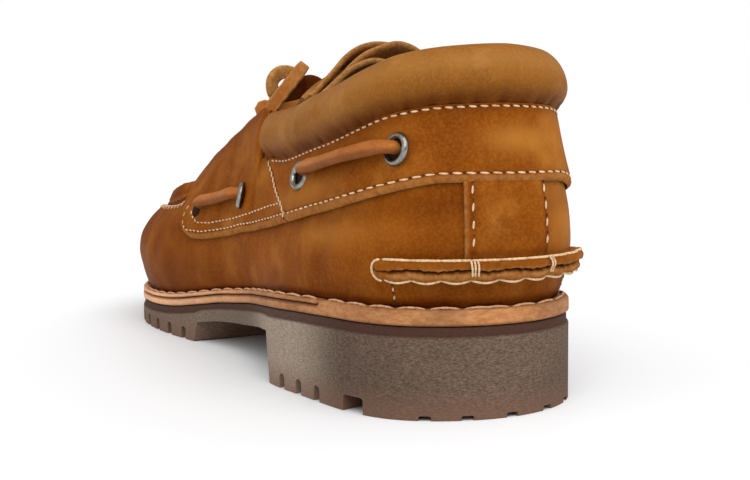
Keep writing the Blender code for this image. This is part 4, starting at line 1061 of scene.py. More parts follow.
# The plug: the top of the moccasin toe, darker and redder than the vamp. It is gathered to the standing edge
# of the vamp by hand, so its border is pinched into small pleats.
plug_leather = leather(
    "plug_leather", 0.02, 0.00017, Deep=(0.125, 0.026, 0.002, 1), Body=(0.23, 0.056, 0.005, 1),
    Rubbed=(0.38, 0.14, 0.030, 1),
)


# Along the plug: share of its length, how high its border is drawn up, how far it spills outwards.
PLUG_BORDER = ((0.0, 0.4, 1.2), (0.05, 2.7, 1.9), (0.12, 3.7, 2.5), (0.22, 3.3, 2.3), (0.36, 1.2, 0.0))
PLUG_START = (224.0, 471.5)
PLUG_LENGTH = 124.0
TOE_PITCH = 4.6


def toe_plug():
    border_at, rims, spills = zip(*PLUG_BORDER)
    shares = np.concatenate([np.linspace(0, 0.86, 46), np.linspace(0.875, 0.984, 14)])
    left, right = (skin(start + (TOE - start) * shares, 1.0) for start in PLUG_START)
    across = np.concatenate([np.linspace(0, 0.1, 11), np.linspace(0.125, 0.875, 31), np.linspace(0.9, 1, 11)])
    places, burnish_and_shade = [], []
    for k, share in enumerate(shares):
        start, end = left[k], right[k]
        width = np.linalg.norm(end - start)
        unit = (end - start) / width
        rim = float(np.interp(share, border_at, rims))
        spill = float(np.interp(share, border_at, spills))
        start, end = start + unit * (1.1 - spill), end - unit * 1.1
        arch = (9.5 - 4.5 * share) * min(1.0, width / 42.0)
        back = float(np.interp(share, (0.88, 0.95, 0.984), (0.0, 0.7, 1.0)))
        line, dark = [], []
        for part in across:
            near = min(part, 1 - part)
            away = near * width
            lip = (1.2 - 1.3 * min(1.0, rim / 2.7)) * hump(away, 0.0, 2.2)
            lip += rim * (1 - hump(away, -0.15, 1.3)) * hump(away, 0.0, 9.0)
            arc = share * PLUG_LENGTH
            pleats = math.cos(2 * math.pi * arc / TOE_PITCH) * hump(away, 0.0, 5.5)
            pinch = 0.34 * float(fade(share, 0.03, 0.12)) * pleats * (1 - share**6)
            wave = 0.30 * math.sin(arc * 0.16 + part * 5) * math.sin(part * math.pi)
            up = arch * (1 - (2 * part - 1) ** 2) ** 0.85 + lip + 0.6 + pinch + wave
            line.append(start + (end - start) * part + np.array([0, -back, up]))
            # Painted shade along the plug's border at the seam and in the hollows of its pleats.
            dark.append(
                (0.55 - 0.4 * (share < 0.1)) * math.exp(-((away / 2.4) ** 2)) + 0.12 * (pinch < -0.12)
            )
        places.append(line)
        burnish_and_shade.append(dark)
    places, burnish_and_shade = np.array(places), np.array(burnish_and_shade)
    under = places - np.array([0, 0, WALL])
    both = np.concatenate([places, under[:, ::-1]], axis=1)
    plain = np.zeros_like(burnish_and_shade)
    masks = {
        "burnish_and_shade": np.concatenate([burnish_and_shade, burnish_and_shade], axis=1),
        "raw": np.concatenate([plain, plain + 0.7], axis=1),
        "light": np.concatenate([plain, plain], axis=1),
    }
    piece = laid_grid("toe_plug", both, masks, round_columns=True, capped=True)
    finish_piece(piece, plug_leather, "upper_leather", "plug", sharp=55)


toe_plug()


# The tongue: soft full-grain leather left raw at its edges. It comes up from under the plug, and its free end
# is bunched by the collar into wavy lips.

# Back along the tongue: place, height of its middle, half its width, how far its sides drop.
TONGUE = (
    (212.0, 64.6, 27.0, 4.6), (205.0, 66.9, 28.0, 5.0), (198.0, 68.6, 28.5, 5.6), (190.0, 70.4, 27.5, 6.4),
    (178.0, 74.8, 26.2, 8.2), (164.0, 81.4, 25.0, 9.2), (150.0, 87.4, 24.8, 10.0), (136.0, 92.6, 25.0, 10.6),
    (122.0, 97.2, 25.0, 11.0), (108.0, 102.6, 25.4, 11.2), (95.0, 108.4, 25.6, 11.6),
    (84.0, 113.6, 25.6, 12.4), (77.0, 116.6, 22.5, 11.4),
)
TONGUE_THICK = 2.3
tongue_leather = leather(
    "tongue_leather", 0.06, 0.0002, Deep=(0.17, 0.052, 0.007, 1), Body=(0.30, 0.110, 0.018, 1),
    Rubbed=(0.44, 0.205, 0.06, 1), Suede=(0.42, 0.205, 0.065, 1),
)


def table_at(table, y):
    flipped = table[::-1]
    return [
        float(np.interp(y, [row[0] for row in flipped], [row[k] for row in flipped]))
        for k in range(1, len(table[0]))
    ]


def tongue():
    lengths = through([(row[0], row[1], 0) for row in TONGUE if row[0] > 90.0], 1.9)[:, 0]
    across = np.concatenate([[-1.0, -0.985, -0.96], np.linspace(-0.92, 0.92, 37), [0.96, 0.985, 1.0]])
    top, raw = [], []
    for y in lengths:
        z, half, drop = table_at(TONGUE, y)
        centre = float(np.interp(y, (140, 155), (-1.2, 0.2)))
        free = float(fade(-y, -112.0, -82.0))
        line, bare = [], []
        for u in across:
            wave = free * (1.1 * math.sin(u * 6.2 + 0.6) - 1.1)
            fold = (
                -0.45 * math.exp(-(((y - 104 - 3 * u) / 3.5) ** 2))
                - 0.4 * math.exp(-(((y - 128 + 4 * u) / 3.0) ** 2))
            )
            line.append([centre + half * u, y, z - drop * abs(u) ** 2.2 + wave * 0.45 + fold])
            bare.append(max(float(fade(abs(u), 0.955, 0.985)), float(fade(-y, -79.5, -77.6))))
        top.append(line)
        raw.append(bare)
    top, raw = np.array(top), np.array(raw)
    normal = np.cross(np.gradient(top, axis=0), np.gradient(top, axis=1))
    normal /= np.linalg.norm(normal, axis=2)[:, :, None]
    normal *= np.where(normal[:, :, 2:] < 0, -1, 1)
    under = (top - normal * TONGUE_THICK)[:, ::-1]
    both = np.concatenate([top, under], axis=1)
    masks = {"raw": np.concatenate([raw, np.full_like(raw, 0.85)], axis=1)}
    masks["burnish_and_shade"] = np.zeros_like(masks["raw"])
    masks["light"] = np.zeros_like(masks["raw"])
    piece = laid_grid("tongue", both, masks, round_columns=True, capped=True)
    finish_piece(piece, tongue_leather, "upper_leather", "tongue", sharp=60)


tongue()


# The tongue's free end: folds of its leather, left raw at the edge and pushed up into three lips by the foot.
# A fourth fold stands under the bow, painted fully dark as the shade there.

# Each lip: name, place of its edge along the foot, how deep it runs from there, the edge as (across, height).
LIPS = (
    (
        "under_bow", 138.0, 7.0,
        (
            (-23.7, 91.8), (-22.5, 94.5), (-20.5, 97.7), (-18.0, 101.0), (-15.1, 104.0), (-11.9, 106.1),
            (-8.2, 107.2), (-4.5, 106.7), (-0.8, 104.7), (2.7, 101.8), (5.6, 98.0),
        ),
    ),
    (
        "back", 90.0, 18.0,
        (
            (-25.6, 97.5), (-23.0, 100.0), (-20.2, 103.0), (-16.6, 107.0), (-12.6, 111.2), (-8.6, 114.3),
            (-4.4, 116.0), (0.6, 116.8), (5.6, 116.3), (9.5, 114.6), (12.0, 112.4),
        ),
    ),
    (
        "middle", 82.5, 22.0,
        (
            (-25.5, 96.6), (-22.6, 99.2), (-18.0, 103.2), (-14.0, 107.6), (-10.6, 110.6), (-6.8, 112.9),
            (-2.6, 114.7), (2.0, 116.2), (6.4, 116.5), (10.6, 115.2), (14.4, 112.8), (17.6, 109.4),
            (20.0, 105.0),
        ),
    ),
    (
        "front", 76.5, 15.0,
        (
            (-26.6, 97.4), (-23.2, 100.4), (-18.4, 104.6), (-14.0, 107.5), (-9.4, 109.4), (-5.0, 109.8),
            (-0.6, 108.7), (3.4, 106.2), (6.4, 102.8),
        ),
    ),
)


# Round a lip's raw edge: in from the edge, off the outer face.
LIP_EDGE = ((0.9, -0.2), (0.35, -0.35), (0.05, -0.7), (0.0, -1.15), (0.05, -1.6), (0.35, -2.0), (0.9, -2.3))


def lip_sink(name, back):
    """How far a lip has sunk at some distance in from its edge."""
    if name == "under_bow":
        return 2.1 * back
    return 0.16 * back + 0.02 * back * back if name == "front" else 0.46 * back


def tongue_lips():
    whole = bmesh.new()
    for name, y, depth, route in LIPS:
        line = through([(x, z, 0) for x, z in route], 1.0)[:, :2]
        along = np.gradient(line, axis=0)
        along /= np.linalg.norm(along, axis=1)[:, None]
        up = np.column_stack([-along[:, 1], along[:, 0]])
        rows = (
            [(depth * t, 0.0, 0.0) for t in np.linspace(1, 0.12, 9)]
            + [(a, b + 0.2, 1.0) for a, b in LIP_EDGE]
        )
        rows += [(depth * t, -2.1, 0.9) for t in np.linspace(0.12, 1, 9)]
        places, raw = [], []
        for back, off, bare in rows:
            ripple = 0.35 * np.sin(np.arange(len(line)) * 0.45 + depth) * (back < 3)
            spots = line + up * off
            aside, high = spots[:, 0] * (1 + 0.002 * back), spots[:, 1] - lip_sink(name, back)
            places.append(np.column_stack([aside, np.full(len(line), y + back) + ripple, high]))
            raw.append(np.full(len(line), bare))
        # The fold under the bow is painted fully dark as the shade under the bow; the other lips get a faint
        # painted highlight on their raw edges.
        dark = 1.0 if name == "under_bow" else 0.0
        raw = np.array(raw) * (1 - dark)
        masks = {"raw": raw, "burnish_and_shade": np.full_like(raw, dark), "light": raw * 0.25}
        lip = laid_grid(f"lip_{name}", np.array(places), masks, round_rows=True, capped=True)
        whole.from_mesh(lip.data)
        bpy.data.objects.remove(lip)
    finish_piece(bare_object("tongue_lips", whole), tongue_leather, "upper_leather", sharp=60)


tongue_lips()


# The overlays: a band of the same leather round both quarters and a saddle on each side that holds the
# eyelets. They are cut raw, skived a little at the edge and lockstitched down with waxed cream thread.
OVERLAY = 1.6
LIFT = 0.5
OVERLAY_TOP = GAP + LIFT + OVERLAY
HEM = 5.2
FULL_RISE = 40.0
# From an overlay's front to its back: arc and share of its lower edge, arc of its upper edge.
SADDLE = (
    (209.8, 0.80, 219.5), (209.2, 0.72, 217.6), (208.4, 0.64, 214.0), (206.6, 0.575, 209.6),
    (202.6, 0.517, 204.0), (196.0, 0.470, 198.0), (186.5, 0.451, 189.6), (174.0, 0.450, 179.0),
    (162.0, 0.453, 170.0), (150.0, 0.458, 161.0), (139.0, 0.478, 154.0), (132.0, 0.492, 150.4),
    (125.0, 0.503, 147.6), (119.0, 0.508, 145.6), (113.0, 0.511, 143.4), (107.0, 0.512, 140.8),
    (101.4, 0.512, 137.4),
)
BAND = (
    (100.4, 0.512, 136.4), (96.6, 0.512, 127.0), (89.5, 0.512, 114.0), (79.0, 0.518, 98.0),
    (69.0, 0.522, 82.0), (59.0, 0.530, 68.0), (49.5, 0.548, 55.0), (41.0, 0.566, 44.0), (33.0, 0.580, 34.5),
    (24.0, 0.590, 25.0), (15.0, 0.594, 15.5), (7.5, 0.595, 7.5), (0.0, 0.595, 0.0),
)
# Up an overlay from its cut edge: rise over the edge, height off the upper, how raw it is, how dark it is
# painted (burnish and painted shade at the cut edge and in the stitch groove).
OVERLAY_ROWS = (
    (0.0, 0.8, 0.9, 0.7), (0.0, 1.15, 0.9, 0.45), (0.25, 1.65, 0.8, 0.10), (0.7, 2.05, 0.7, 0.0),
    (1.2, 2.32, 0.6, 0.0), (1.7, 2.42, 0.35, 0.0), (2.05, 2.32, 0.1, 0.25), (2.4, 2.16, 0.0, 0.55),
    (2.75, 2.30, 0.0, 0.30), (3.3, 2.42, 0.0, 0.05), (HEM, 2.42, 0.0, 0.0),
)
OVERLAY_TURN_IN = ((FULL_RISE, 2.2, 0.15, 0.3), (FULL_RISE, 0.8, 0.6, 0.5), (20.0, 0.8, 0.8, 0.5))


def finer(rows, parts):
    """Rows put between the rows of a table."""
    found = []
    for first, second in zip(rows[:-1], rows[1:]):
        for k in range(parts):
            found.append(tuple(a + (b - a) * k / parts for a, b in zip(first, second)))
    return found + [tuple(rows[-1])]


def overlay(name, columns, inner, front_raw, light, node):
    """A leather overlay on the upper. columns give its lower edge and the arc of its upper edge."""
    rows = [*OVERLAY_ROWS, *((u, 2.4, 0.0, 0.0) for u in np.linspace(6.2, FULL_RISE, 24)), *OVERLAY_TURN_IN]
    low, start, high = np.array(columns, float).T
    foot = skin(side_arc(low, inner), start)[:, 2]
    reach = HEM / np.maximum(skin(side_arc(high, inner), 1.0)[:, 2] - foot, HEM)
    edge_at = low + (high - low) * reach
    edge_share = share_at(side_arc(edge_at, inner), foot + HEM)
    run = np.append(0, np.cumsum(np.hypot(np.diff(low), np.diff(start) * RISE)))
    skived = 1 - fade(run, 0.0, 1.8) if front_raw else np.zeros(len(run))
    places, masks = [], {"raw": [], "burnish_and_shade": [], "light": []}
    for rise, off, raw, burnish_and_shade in rows:
        if rise <= HEM:
            at = low + (edge_at - low) * rise / HEM
            height = share_at(side_arc(at, inner), foot + rise)
        else:
            part = (rise - HEM) / (FULL_RISE - HEM)
            at = edge_at + (high - edge_at) * part
            height = edge_share + (1 - edge_share) * part
        lump = 0.10 * np.sin(at * 0.35) * np.sin(height * 14) + 0.06 * np.sin(at * 1.1 + 2) * (rise < 2.6)
        puffed = 0.0
        if front_raw:
            puffed = (
                0.9 * hump(at, 146.0, 8.0) * fade(height, 0.66, 0.86) * (1 - 0.8 * fade(height, 0.9, 1.0))
            )
        lift = np.where(off > 1.0, off - 0.9 * skived + lump * (rise > 0), off) + puffed
        places.append(skin(side_arc(at, inner), height, lift))
        masks["raw"].append(np.maximum(raw, skived * (off > 1.0)))
        # Painted shade and burnish from the rows, and painted shade along the top line; painted highlights
        # from the piece's own pattern.
        masks["burnish_and_shade"].append(np.full(len(at), burnish_and_shade) + 0.35 * hump(height, 0.98, 0.04))
        masks["light"].append(light(at, height))
    masks = {key: np.clip(np.array(value), 0, 1) for key, value in masks.items()}
    piece = laid_grid(name, np.array(places), masks, round_rows=True, capped=True)
    return finish_piece(piece, tan_leather, "upper_leather", node, sharp=65)


def quarter_band():
    outer = finer(BAND, 9)
    around = [(side_arc(a, True) - AROUND, b, side_arc(c, True) - AROUND) for a, b, c in outer[:-1]]

    # Painted highlights at the back of the heel, on the outer quarter and near the back of the inner side.
    def light(at, height):
        back = 0.72 * patch(at, -2, 11, height, 0.80, 0.075)
        side = 0.55 * patch(at, 84, 20, height, 0.66, 0.10)
        side = side + 0.45 * hump(at, -22, 8) + 0.3 * patch(at, 40, 8, height, 0.85, 0.09)
        return back + side

    overlay("quarter_band_leather", around + outer[::-1], False, False, light, "quarter_band")


quarter_band()
SIDES = (("lateral", False), ("medial", True))
for side, inner in SIDES:
    saddle = finer(SADDLE, 7)
    level = dict(levelled([(a, b) for a, b, _ in saddle], inner))
    line_at, line_share = np.array(sorted(level.items())).T
    saddle = [
        (a, float(np.interp(a, line_at, line_share)) if STEP_UP[0] < a < STEP_UP[1] else b, c)
        for a, b, c in saddle
    ]
    # A faint painted sheen that comes and goes along each saddle.
    sheen = lambda at, height: 0.12 * np.sin(at * 0.2) ** 2
    overlay(f"saddle_leather_{side}", saddle, inner, True, sheen, f"saddle_{side}")


# The heel strip: an upright piece over the back seam, raw at both sides, stitched along them and closed below
# by the kicker and above by the band.

# The arcs of its two seams.
STRIP_SEAMS = (12.7, -10.6)


def heel_strip():
    middle = np.linspace(12.2, -9.4, 28)
    arcs = np.concatenate(
        [[15.1, 15.1, 14.9, 14.4, 13.7, 13.0], middle, [-10.2, -10.9, -11.6, -12.0, -12.3, -12.3]]
    )
    offs = np.concatenate(
        [[0.3, 1.0, 1.55, 1.75, 1.62, 1.45], np.full(28, 1.6), [1.3, 1.2, 1.0, 0.8, 0.6, 0.3]]
    )
    raw = np.concatenate([[1, 1, 0.9, 0.4, 0, 0], np.zeros(28), [0, 0, 0.1, 0.2, 0.3, 0.3]])
    shares = np.linspace(0.262, 0.60, 38)
    # Dark along both seams and on the outer cut edge, and at the strip's foot over the kicker: burnish and
    # painted shade.
    seams = sum(0.45 * hump(arcs, seam, 0.9) for seam in STRIP_SEAMS) + 0.5 * (arcs > 14.95)
    foot = 0.45 * hump(shares, 0.29, 0.02)
    places = np.array([skin(arcs, share, offs + 0.05 * math.sin(share * 90)) for share in shares])
    masks = {
        "raw": np.tile(raw, (len(shares), 1)),
        "burnish_and_shade": np.tile(seams, (len(shares), 1)) + foot[:, None],
        "light": np.zeros((len(shares), len(arcs))),
    }
    piece = laid_grid("heel_strip_leather", places, masks, round_columns=True, capped=True)
    finish_piece(piece, tan_leather, "upper_leather", "heel_strip", sharp=60)


heel_strip()


# The kicker: a raised roll sewn by hand round the heel. Two leather edges are whipped over with thick cream
# thread and stand a little apart, so a split runs between them, painted dark as shade.

# Over the kicker: up from its middle line, out of the upper, how raw it is, how dark it is painted (painted
# shade in the split and where the roll meets the upper).
KICKER = (
    (-2.8, 0.25, 0.6, 0.6), (-3.0, 1.2, 0.3, 0.5), (-2.95, 2.4, 0.4, 0.1), (-2.6, 3.2, 0.5, 0.0),
    (-2.0, 3.8, 0.6, 0.0), (-1.4, 3.9, 0.8, 0.0), (-0.95, 3.7, 1.0, 0.1), (-0.6, 3.3, 0.9, 0.7),
    (-0.35, 2.6, 0.5, 1.0), (0.0, 1.8, 0.0, 1.0), (0.3, 2.6, 0.3, 1.0), (0.5, 3.7, 0.8, 0.5),
    (0.85, 4.2, 0.7, 0.1), (1.4, 4.35, 0.1, 0.1), (2.1, 4.1, 0.0, 0.15), (2.7, 3.4, 0.0, 0.2),
    (3.05, 2.4, 0.0, 0.25), (3.1, 1.2, 0.2, 0.5), (2.9, 0.25, 0.6, 0.6),
)
KICKER_MIDDLE = 44.9
KICKER_ENDS = (41.9, -40.9)
FIRST_WHIP = 37.9
WHIP = 8.2


def kicker_line(arc, ups, outs):
    """Points over the kicker's middle line at one arc: how far up, and how far out of the upper."""
    shares = np.linspace(0, 0.5, 101)
    share = np.interp(KICKER_MIDDLE + np.asarray(ups, float), skin(np.full(101, arc), shares)[:, 2], shares)
    return skin(np.full(len(share), arc), share, np.asarray(outs, float))


def heel_kicker():
    first, last = KICKER_ENDS
    ends = np.linspace(first, 38.6, 9), np.linspace(-37.8, last, 9)
    arcs = np.concatenate([ends[0], np.linspace(FIRST_WHIP, -37.1, 120), ends[1]])
    places, masks = [], {"raw": [], "burnish_and_shade": [], "light": []}
    for arc in arcs:
        end = min(first - arc, arc - last)
        grow = 0.35 + 0.65 * float(fade(end, 0.0, 3.6)) ** 0.6
        open_split = float(fade(end, 3.0, 9.0))
        bulge = 0.5 - 0.5 * math.cos(2 * math.pi * (arc - FIRST_WHIP) / WHIP)
        ragged = (
            0.25 * math.sin(arc * 0.45 + 0.8) + 0.12 * math.sin(arc * 1.9) + 0.10 * math.sin(arc * 3.3 + 1.0)
        )
        ups, outs, raw, burnish_and_shade = [], [], [], []
        for up, out, bare, dark in KICKER:
            scallop = (0.35 * bulge - 0.20) * math.copysign(1.0, up) * (abs(up) > 1.2)
            swell = (0.45 * bulge - 0.25) * (abs(up) > 0.6) * (out > 1)
            waver = ragged * (abs(up) < 1.2)
            filled = 4.0 / max(out, 2.1) if abs(up) < 1.3 else 1.0
            lift = (out - 0.3) * (open_split + (1 - open_split) * filled) + swell
            ups.append((up + scallop + waver) * grow)
            outs.append(GAP + lift * grow)
            raw.append(bare * max(open_split, 0.3))
            # Painted shade in the split and along the roll's foot.
            burnish_and_shade.append(dark * max(open_split, 0.25))
        places.append(kicker_line(arc, ups, outs))
        masks["raw"].append(raw)
        masks["burnish_and_shade"].append(burnish_and_shade)
        # A faint even painted highlight.
        masks["light"].append([0.05] * len(KICKER))
    masks = {key: np.array(value) for key, value in masks.items()}
    piece = laid_grid("heel_kicker_leather", np.array(places), masks, round_columns=True, capped=True)
    finish_piece(piece, tan_leather, "upper_leather", "heel_kicker", sharp=70)


heel_kicker()


# The collar: a soft leather roll over foam, turned in over the top line and stitched through the band, so
# that it is drawn into small puckers just over the stitches.
COLLAR_FRONT = 137.6
COLLAR_TUCK = 10
# Back along the collar: arc, height of the roll, its thickness.
COLLAR = (
    (COLLAR_FRONT, 16.8, 8.4), (128.0, 17.4, 9.2), (110.0, 17.6, 9.6), (90.0, 17.7, 9.8), (70.0, 17.8, 10.0),
    (56.0, 17.8, 10.0), (44.0, 17.2, 10.0), (34.0, 16.8, 10.0), (24.0, 16.6, 10.0), (12.0, 16.8, 10.0),
    (0.0, 17.0, 10.0),
)
# Round the roll, as shares of its thickness and height: across, up.
COLLAR_SECTION = (
    (0.30, -0.20), (0.0, -0.18), (-0.22, -0.08), (-0.38, 0.06), (-0.52, 0.20), (-0.59, 0.38), (-0.52, 0.62),
    (-0.31, 0.85), (-0.02, 0.985), (0.27, 0.96), (0.50, 0.80), (0.60, 0.55), (0.60, 0.25), (0.54, 0.02),
    (0.44, -0.16),
)
collar_leather = leather(
    "collar_leather", 0.03, 0.00015, Deep=(0.19, 0.060, 0.007, 1), Body=(0.30, 0.112, 0.016, 1),
    Rubbed=(0.42, 0.20, 0.055, 1), Rubbing=0.6,
)


def collar():
    rows = [(146.6 - 0.9 * k, 17.2, 7.0 + 0.14 * k) for k in range(COLLAR_TUCK)] + finer(COLLAR, 10)
    full = [(side_arc(at, True) - AROUND, high, thick) for at, high, thick in rows] + rows[::-1][1:]
    section = through([(a, b, 0) for a, b in COLLAR_SECTION], 0.075)[:, :2]
    places, masks = [], {"raw": [], "burnish_and_shade": [], "light": []}
    run = 0.0
    last = None
    for k, (at, high, thick) in enumerate(full):
        seam, normal = skin(at, 1.0)[0], inward(at)[0]
        past = min(k, len(full) - 1 - k)
        if past < COLLAR_TUCK:
            # The front end is tucked in behind the facing.
            turn = COLLAR_FRONT if at > 0 else side_arc(COLLAR_FRONT, True) - AROUND
            still = skin(turn, 1.0)[0]
            edge, way_in = edge_point(turn)
            inset = (
                float(np.dot(still[:2] - edge, way_in)) + 3.0 * ((COLLAR_TUCK - past) / COLLAR_TUCK) ** 1.6
            )
            seam = np.array([*(ring_row(at)[0, :2] + normal * inset), still[2]])
        run += 0 if last is None else float(np.linalg.norm(seam - last))
        last = seam
        grow = float(np.interp(past, (0, 2, 5, 10, 24), (0.66, 0.84, 0.92, 0.96, 1.0)))
        ring, burnish_and_shade, light = [], [], []
        for across, up in section:
            outside = across < 0
            low = math.exp(-((up / 0.20) ** 2))
            folds = math.sin(run * 0.95) + 0.6 * math.sin(run * 1.63 + 1.0) + 0.5 * math.sin(run * 0.41)
            pucker = 0.26 * folds * low * outside + 0.10 * math.sin(run * 0.22 + up * 4) * (up > 0.2)
            tuck = 0.10 * low * outside
            flat = (
                seam[:2] + normal * ((across + tuck - 0.16) * thick * grow - pucker) + normal * 0.16 * thick
            )
            ring.append([*flat, seam[2] + GAP + 0.45 + up * high * grow])
            # Painted shade at the foot of the roll over the stitches and in the pucker hollows; a painted
            # highlight along the top of the roll.
            burnish_and_shade.append((0.62 * low + 0.22 * hump(up, 0.0, 0.42) + 0.12 * max(0.0, -folds) * low) * outside)
            light.append(0.30 * hump(up, 0.72, 0.2) * outside)
        places.append(ring)
        masks["burnish_and_shade"].append(burnish_and_shade)
        masks["light"].append(light)
        masks["raw"].append([0.0] * len(section))
    masks = {key: np.array(value) for key, value in masks.items()}
    piece = laid_grid("padded_collar", np.array(places), masks, round_columns=True, capped=True)
    finish_piece(piece, collar_leather, "upper_leather", "collar", sharp=80)


collar()


# The eyelets: rolled nickel rings, tarnished in their hollows. Each has a short barrel that is set through
# the saddle or the band.

# Each place: name, outer arc, inner arc, share up the upper. The front one is a bare hole with no ring.
EYELETS = (
    ("rear", 34.7, 54.3, 0.777), ("mid", 93.2, 99.2, 0.805), ("saddle", 152.6, 152.6, 0.622),
    ("front", 194.2, 194.2, 0.632),
)
# How far each ring is pulled round by its lace, in degrees.
PULLED = {"rear": -20.0, "mid": 12.0, "saddle": -23.0, "front": 0.0}
# Half a turned section: distance from the axis, height over the leather.
EYELET_PROFILE = (
    (3.0, -1.5), (3.02, -0.2), (3.2, 0.55), (3.6, 1.05), (4.1, 1.2), (4.6, 1.0), (4.95, 0.55), (5.08, 0.0),
    (5.05, -0.35), (4.4, -0.4), (3.5, -0.6), (3.0, -1.5),
)


def nickel():
    made, tree, shader = new_surface("old_nickel")
    spots = noise(tree, object_place(tree), 420.0, 4.0, 0.7)
    tarnish = spread(tree, spots, 0.38, 0.75)
    rough = spread(tree, spots, 0.35, 0.7, 0.16, 0.42)
    dress(tree, shader, mix(tree, tarnish, (0.34, 0.33, 0.305, 1), (0.13, 0.115, 0.095, 1)), spots, 0.00004)
    tree.links.new(rough, shader.inputs["Roughness"])
    shader.inputs["Metallic"].default_value = 1.0
    return made


old_nickel = nickel()


def stand_on(at, share, off, up):
    """A turn and place for something that stands on the leather at a point, in metres."""
    middle = skin(at, share, off)[0]
    out = skin(at, share, off + 1.0)[0] - middle
    out /= np.linalg.norm(out)
    turn = Vector(out).to_track_quat("Z", "Y").to_matrix().to_4x4()
    return Matrix.Translation(Vector(in_frame(middle + out * up))) @ turn @ Matrix.Diagonal((MM, MM, MM, 1))


def eyelet(name, at, share, node, pulled):
    made = bmesh.new()
    corners = [made.verts.new((r, 0, z)) for r, z in EYELET_PROFILE[:-1]]
    edges = [made.edges.new((a, b)) for a, b in zip(corners, corners[1:] + corners[:1])]
    bmesh.ops.spin(
        made, geom=corners + edges, axis=(0, 0, 1), cent=(0, 0, 0), steps=40, angle=2 * math.pi,
        use_merge=True,
        use_duplicate=False,
    )
    bmesh.ops.remove_doubles(made, verts=made.verts, dist=0.001)
    bmesh.ops.recalc_face_normals(made, faces=made.faces)
    for face in made.faces:
        face.smooth = True
    made.transform(stand_on(at, share, OVERLAY_TOP, 0.45) @ Matrix.Rotation(math.radians(pulled), 4, "Y"))
    piece = bare_object(name, made)
    finish_piece(piece, old_nickel, "eyelet_metal", node)


for side, inner in SIDES:
    for place, outer_at, inner_at, share in EYELETS[:3]:
        at = side_arc(inner_at if inner else outer_at, inner)
        pulled = PULLED[place] * (-1 if inner else 1)
        eyelet(f"nickel_ring_{side}_{place}", at, share, f"eyelet_{side}_{place}", pulled)


# The holes: dark discs painted as the shade inside the eyelets' barrels and inside the bare holes punched
# through the saddles, where the front laces go in.
def hole_shade_discs():
    made = bmesh.new()
    for _, inner in SIDES:
        for place, outer_at, inner_at, share in EYELETS:
            stand = stand_on(side_arc(inner_at if inner else outer_at, inner), share, OVERLAY_TOP, 0.12)
            size = 3.2 if place != "front" else 3.3
            disc = stand @ Matrix.Diagonal((size, size, 0.22, 1))
            bmesh.ops.create_uvsphere(made, u_segments=24, v_segments=8, radius=1, matrix=disc)
    for face in made.faces:
        face.smooth = True
    dark, tree, shader = new_surface("hole_shade", 0.9, 0.1)
    color = mix(
        tree, noise(tree, object_place(tree), 700.0), (0.012, 0.004, 0.002, 1), (0.035, 0.013, 0.006, 1)
    )
    tree.links.new(color, shader.inputs["Base Color"])
    finish_piece(bare_object("lace_hole_shade", made), dark, "upper_leather")


hole_shade_discs()


# The side laces: rawhide with a smooth brown face, run on the outside of the leather between eyelets and
# rolled so that the raw lower edge shows. Their lower side is darkened further with painted shade.
SIDE_WIDE = 5.3
SIDE_THICK = 3.3
SIDE_EDGE = (
    (0.0, 0.50, 0.1), (0.20, 0.48, 0.1), (0.34, 0.41, 0.2), (0.44, 0.28, 0.4), (0.49, 0.08, 0.6),
    (0.49, -0.12, 0.6), (0.43, -0.33, 0.6), (0.31, -0.45, 0.5), (0.15, -0.50, 0.5),
)
side_rawhide = leather(
    "side_rawhide", 0.10, 0.00016, Deep=(0.29, 0.072, 0.010, 1), Body=(0.45, 0.150, 0.024, 1),
    Rubbed=(0.60, 0.290, 0.100, 1),
    Blotch=60.0, Rubbing=0.7, Suede=(0.30, 0.110, 0.030, 1),
)


def evened(rows):
    """Takes the small steps out of a line of points, keeping its two ends."""
    rows = np.array(rows, float)
    for _ in range(12):
        rows[1:-1] = rows[1:-1] * 0.5 + (rows[:-2] + rows[2:]) * 0.25
    return rows


def side_lace(name, first, second, inner, node):
    span = second[1] - first[1]
    rear = first[1] < 140
    start = -0.9 if rear else 0.4
    shares = np.linspace(start / span, 1 - 1.7 / span, 66)
    at = np.array([side_arc(first[1] + span * u, inner) for u in shares])
    height = first[2] + 0.013 + (second[2] + (0.017 if rear else 0.009) - first[2]) * shares
    behind, ahead = span * shares - start, span * (1 - shares) - 1.7
    reach = np.minimum(behind, ahead)
    over = fade(reach, 0.6, 4.2) * (1 - 0.45 * fade(reach, 7.5, 15.0))
    dive = 5.6 * (1 - fade(behind, -1.2, 2.6)) + 7.4 * (1 - fade(ahead, -0.4, 3.4))
    lift = GAP + OVERLAY + 0.9 + SIDE_THICK * 0.5 + 1.2 * over - dive
    sag = -0.008 * np.sin(np.clip(shares, 0, 1) * math.pi)
    route = evened(skin(at, height + sag, lift))
    out = route - skin(at, height + sag, lift - 1.0)
    out[:, 2] += 0.70 * np.sin(np.clip(shares * 0.94 + 0.03, 0, 1) * math.pi) ** 0.5
    out = evened(evened(out / np.linalg.norm(out, axis=1)[:, None]))
    pinch = 0.92 + 0.08 * fade(reach, 2.0, 6.0)
    places, raw = lace_places(route, out, SIDE_WIDE, SIDE_THICK, blunt=False, pinch=pinch, edge=SIDE_EDGE)
    # Painted shade on the lace's lower side.
    under = 0.95 * fade(route[:, None, 2] - places[:, :, 2], -0.3, 1.5)
    piece = laid_grid(name, places, {"raw": raw, "burnish_and_shade": under}, round_columns=True, capped=True)
    finish_piece(piece, side_rawhide, "lace_leather", node)


for side, inner in SIDES:
    ends = [(row[0], row[2] if inner else row[1], row[3]) for row in EYELETS]
    side_lace(f"rawhide_{side}_rear", ends[0], ends[1], inner, f"side_lace_{side}_rear")
    side_lace(f"rawhide_{side}_front", ends[2], ends[3], inner, f"side_lace_{side}_front")


# The laces over the throat: a bar in front and a cross behind it, all of rawhide. They lie on the tongue, and
# their ends go in under the facings.

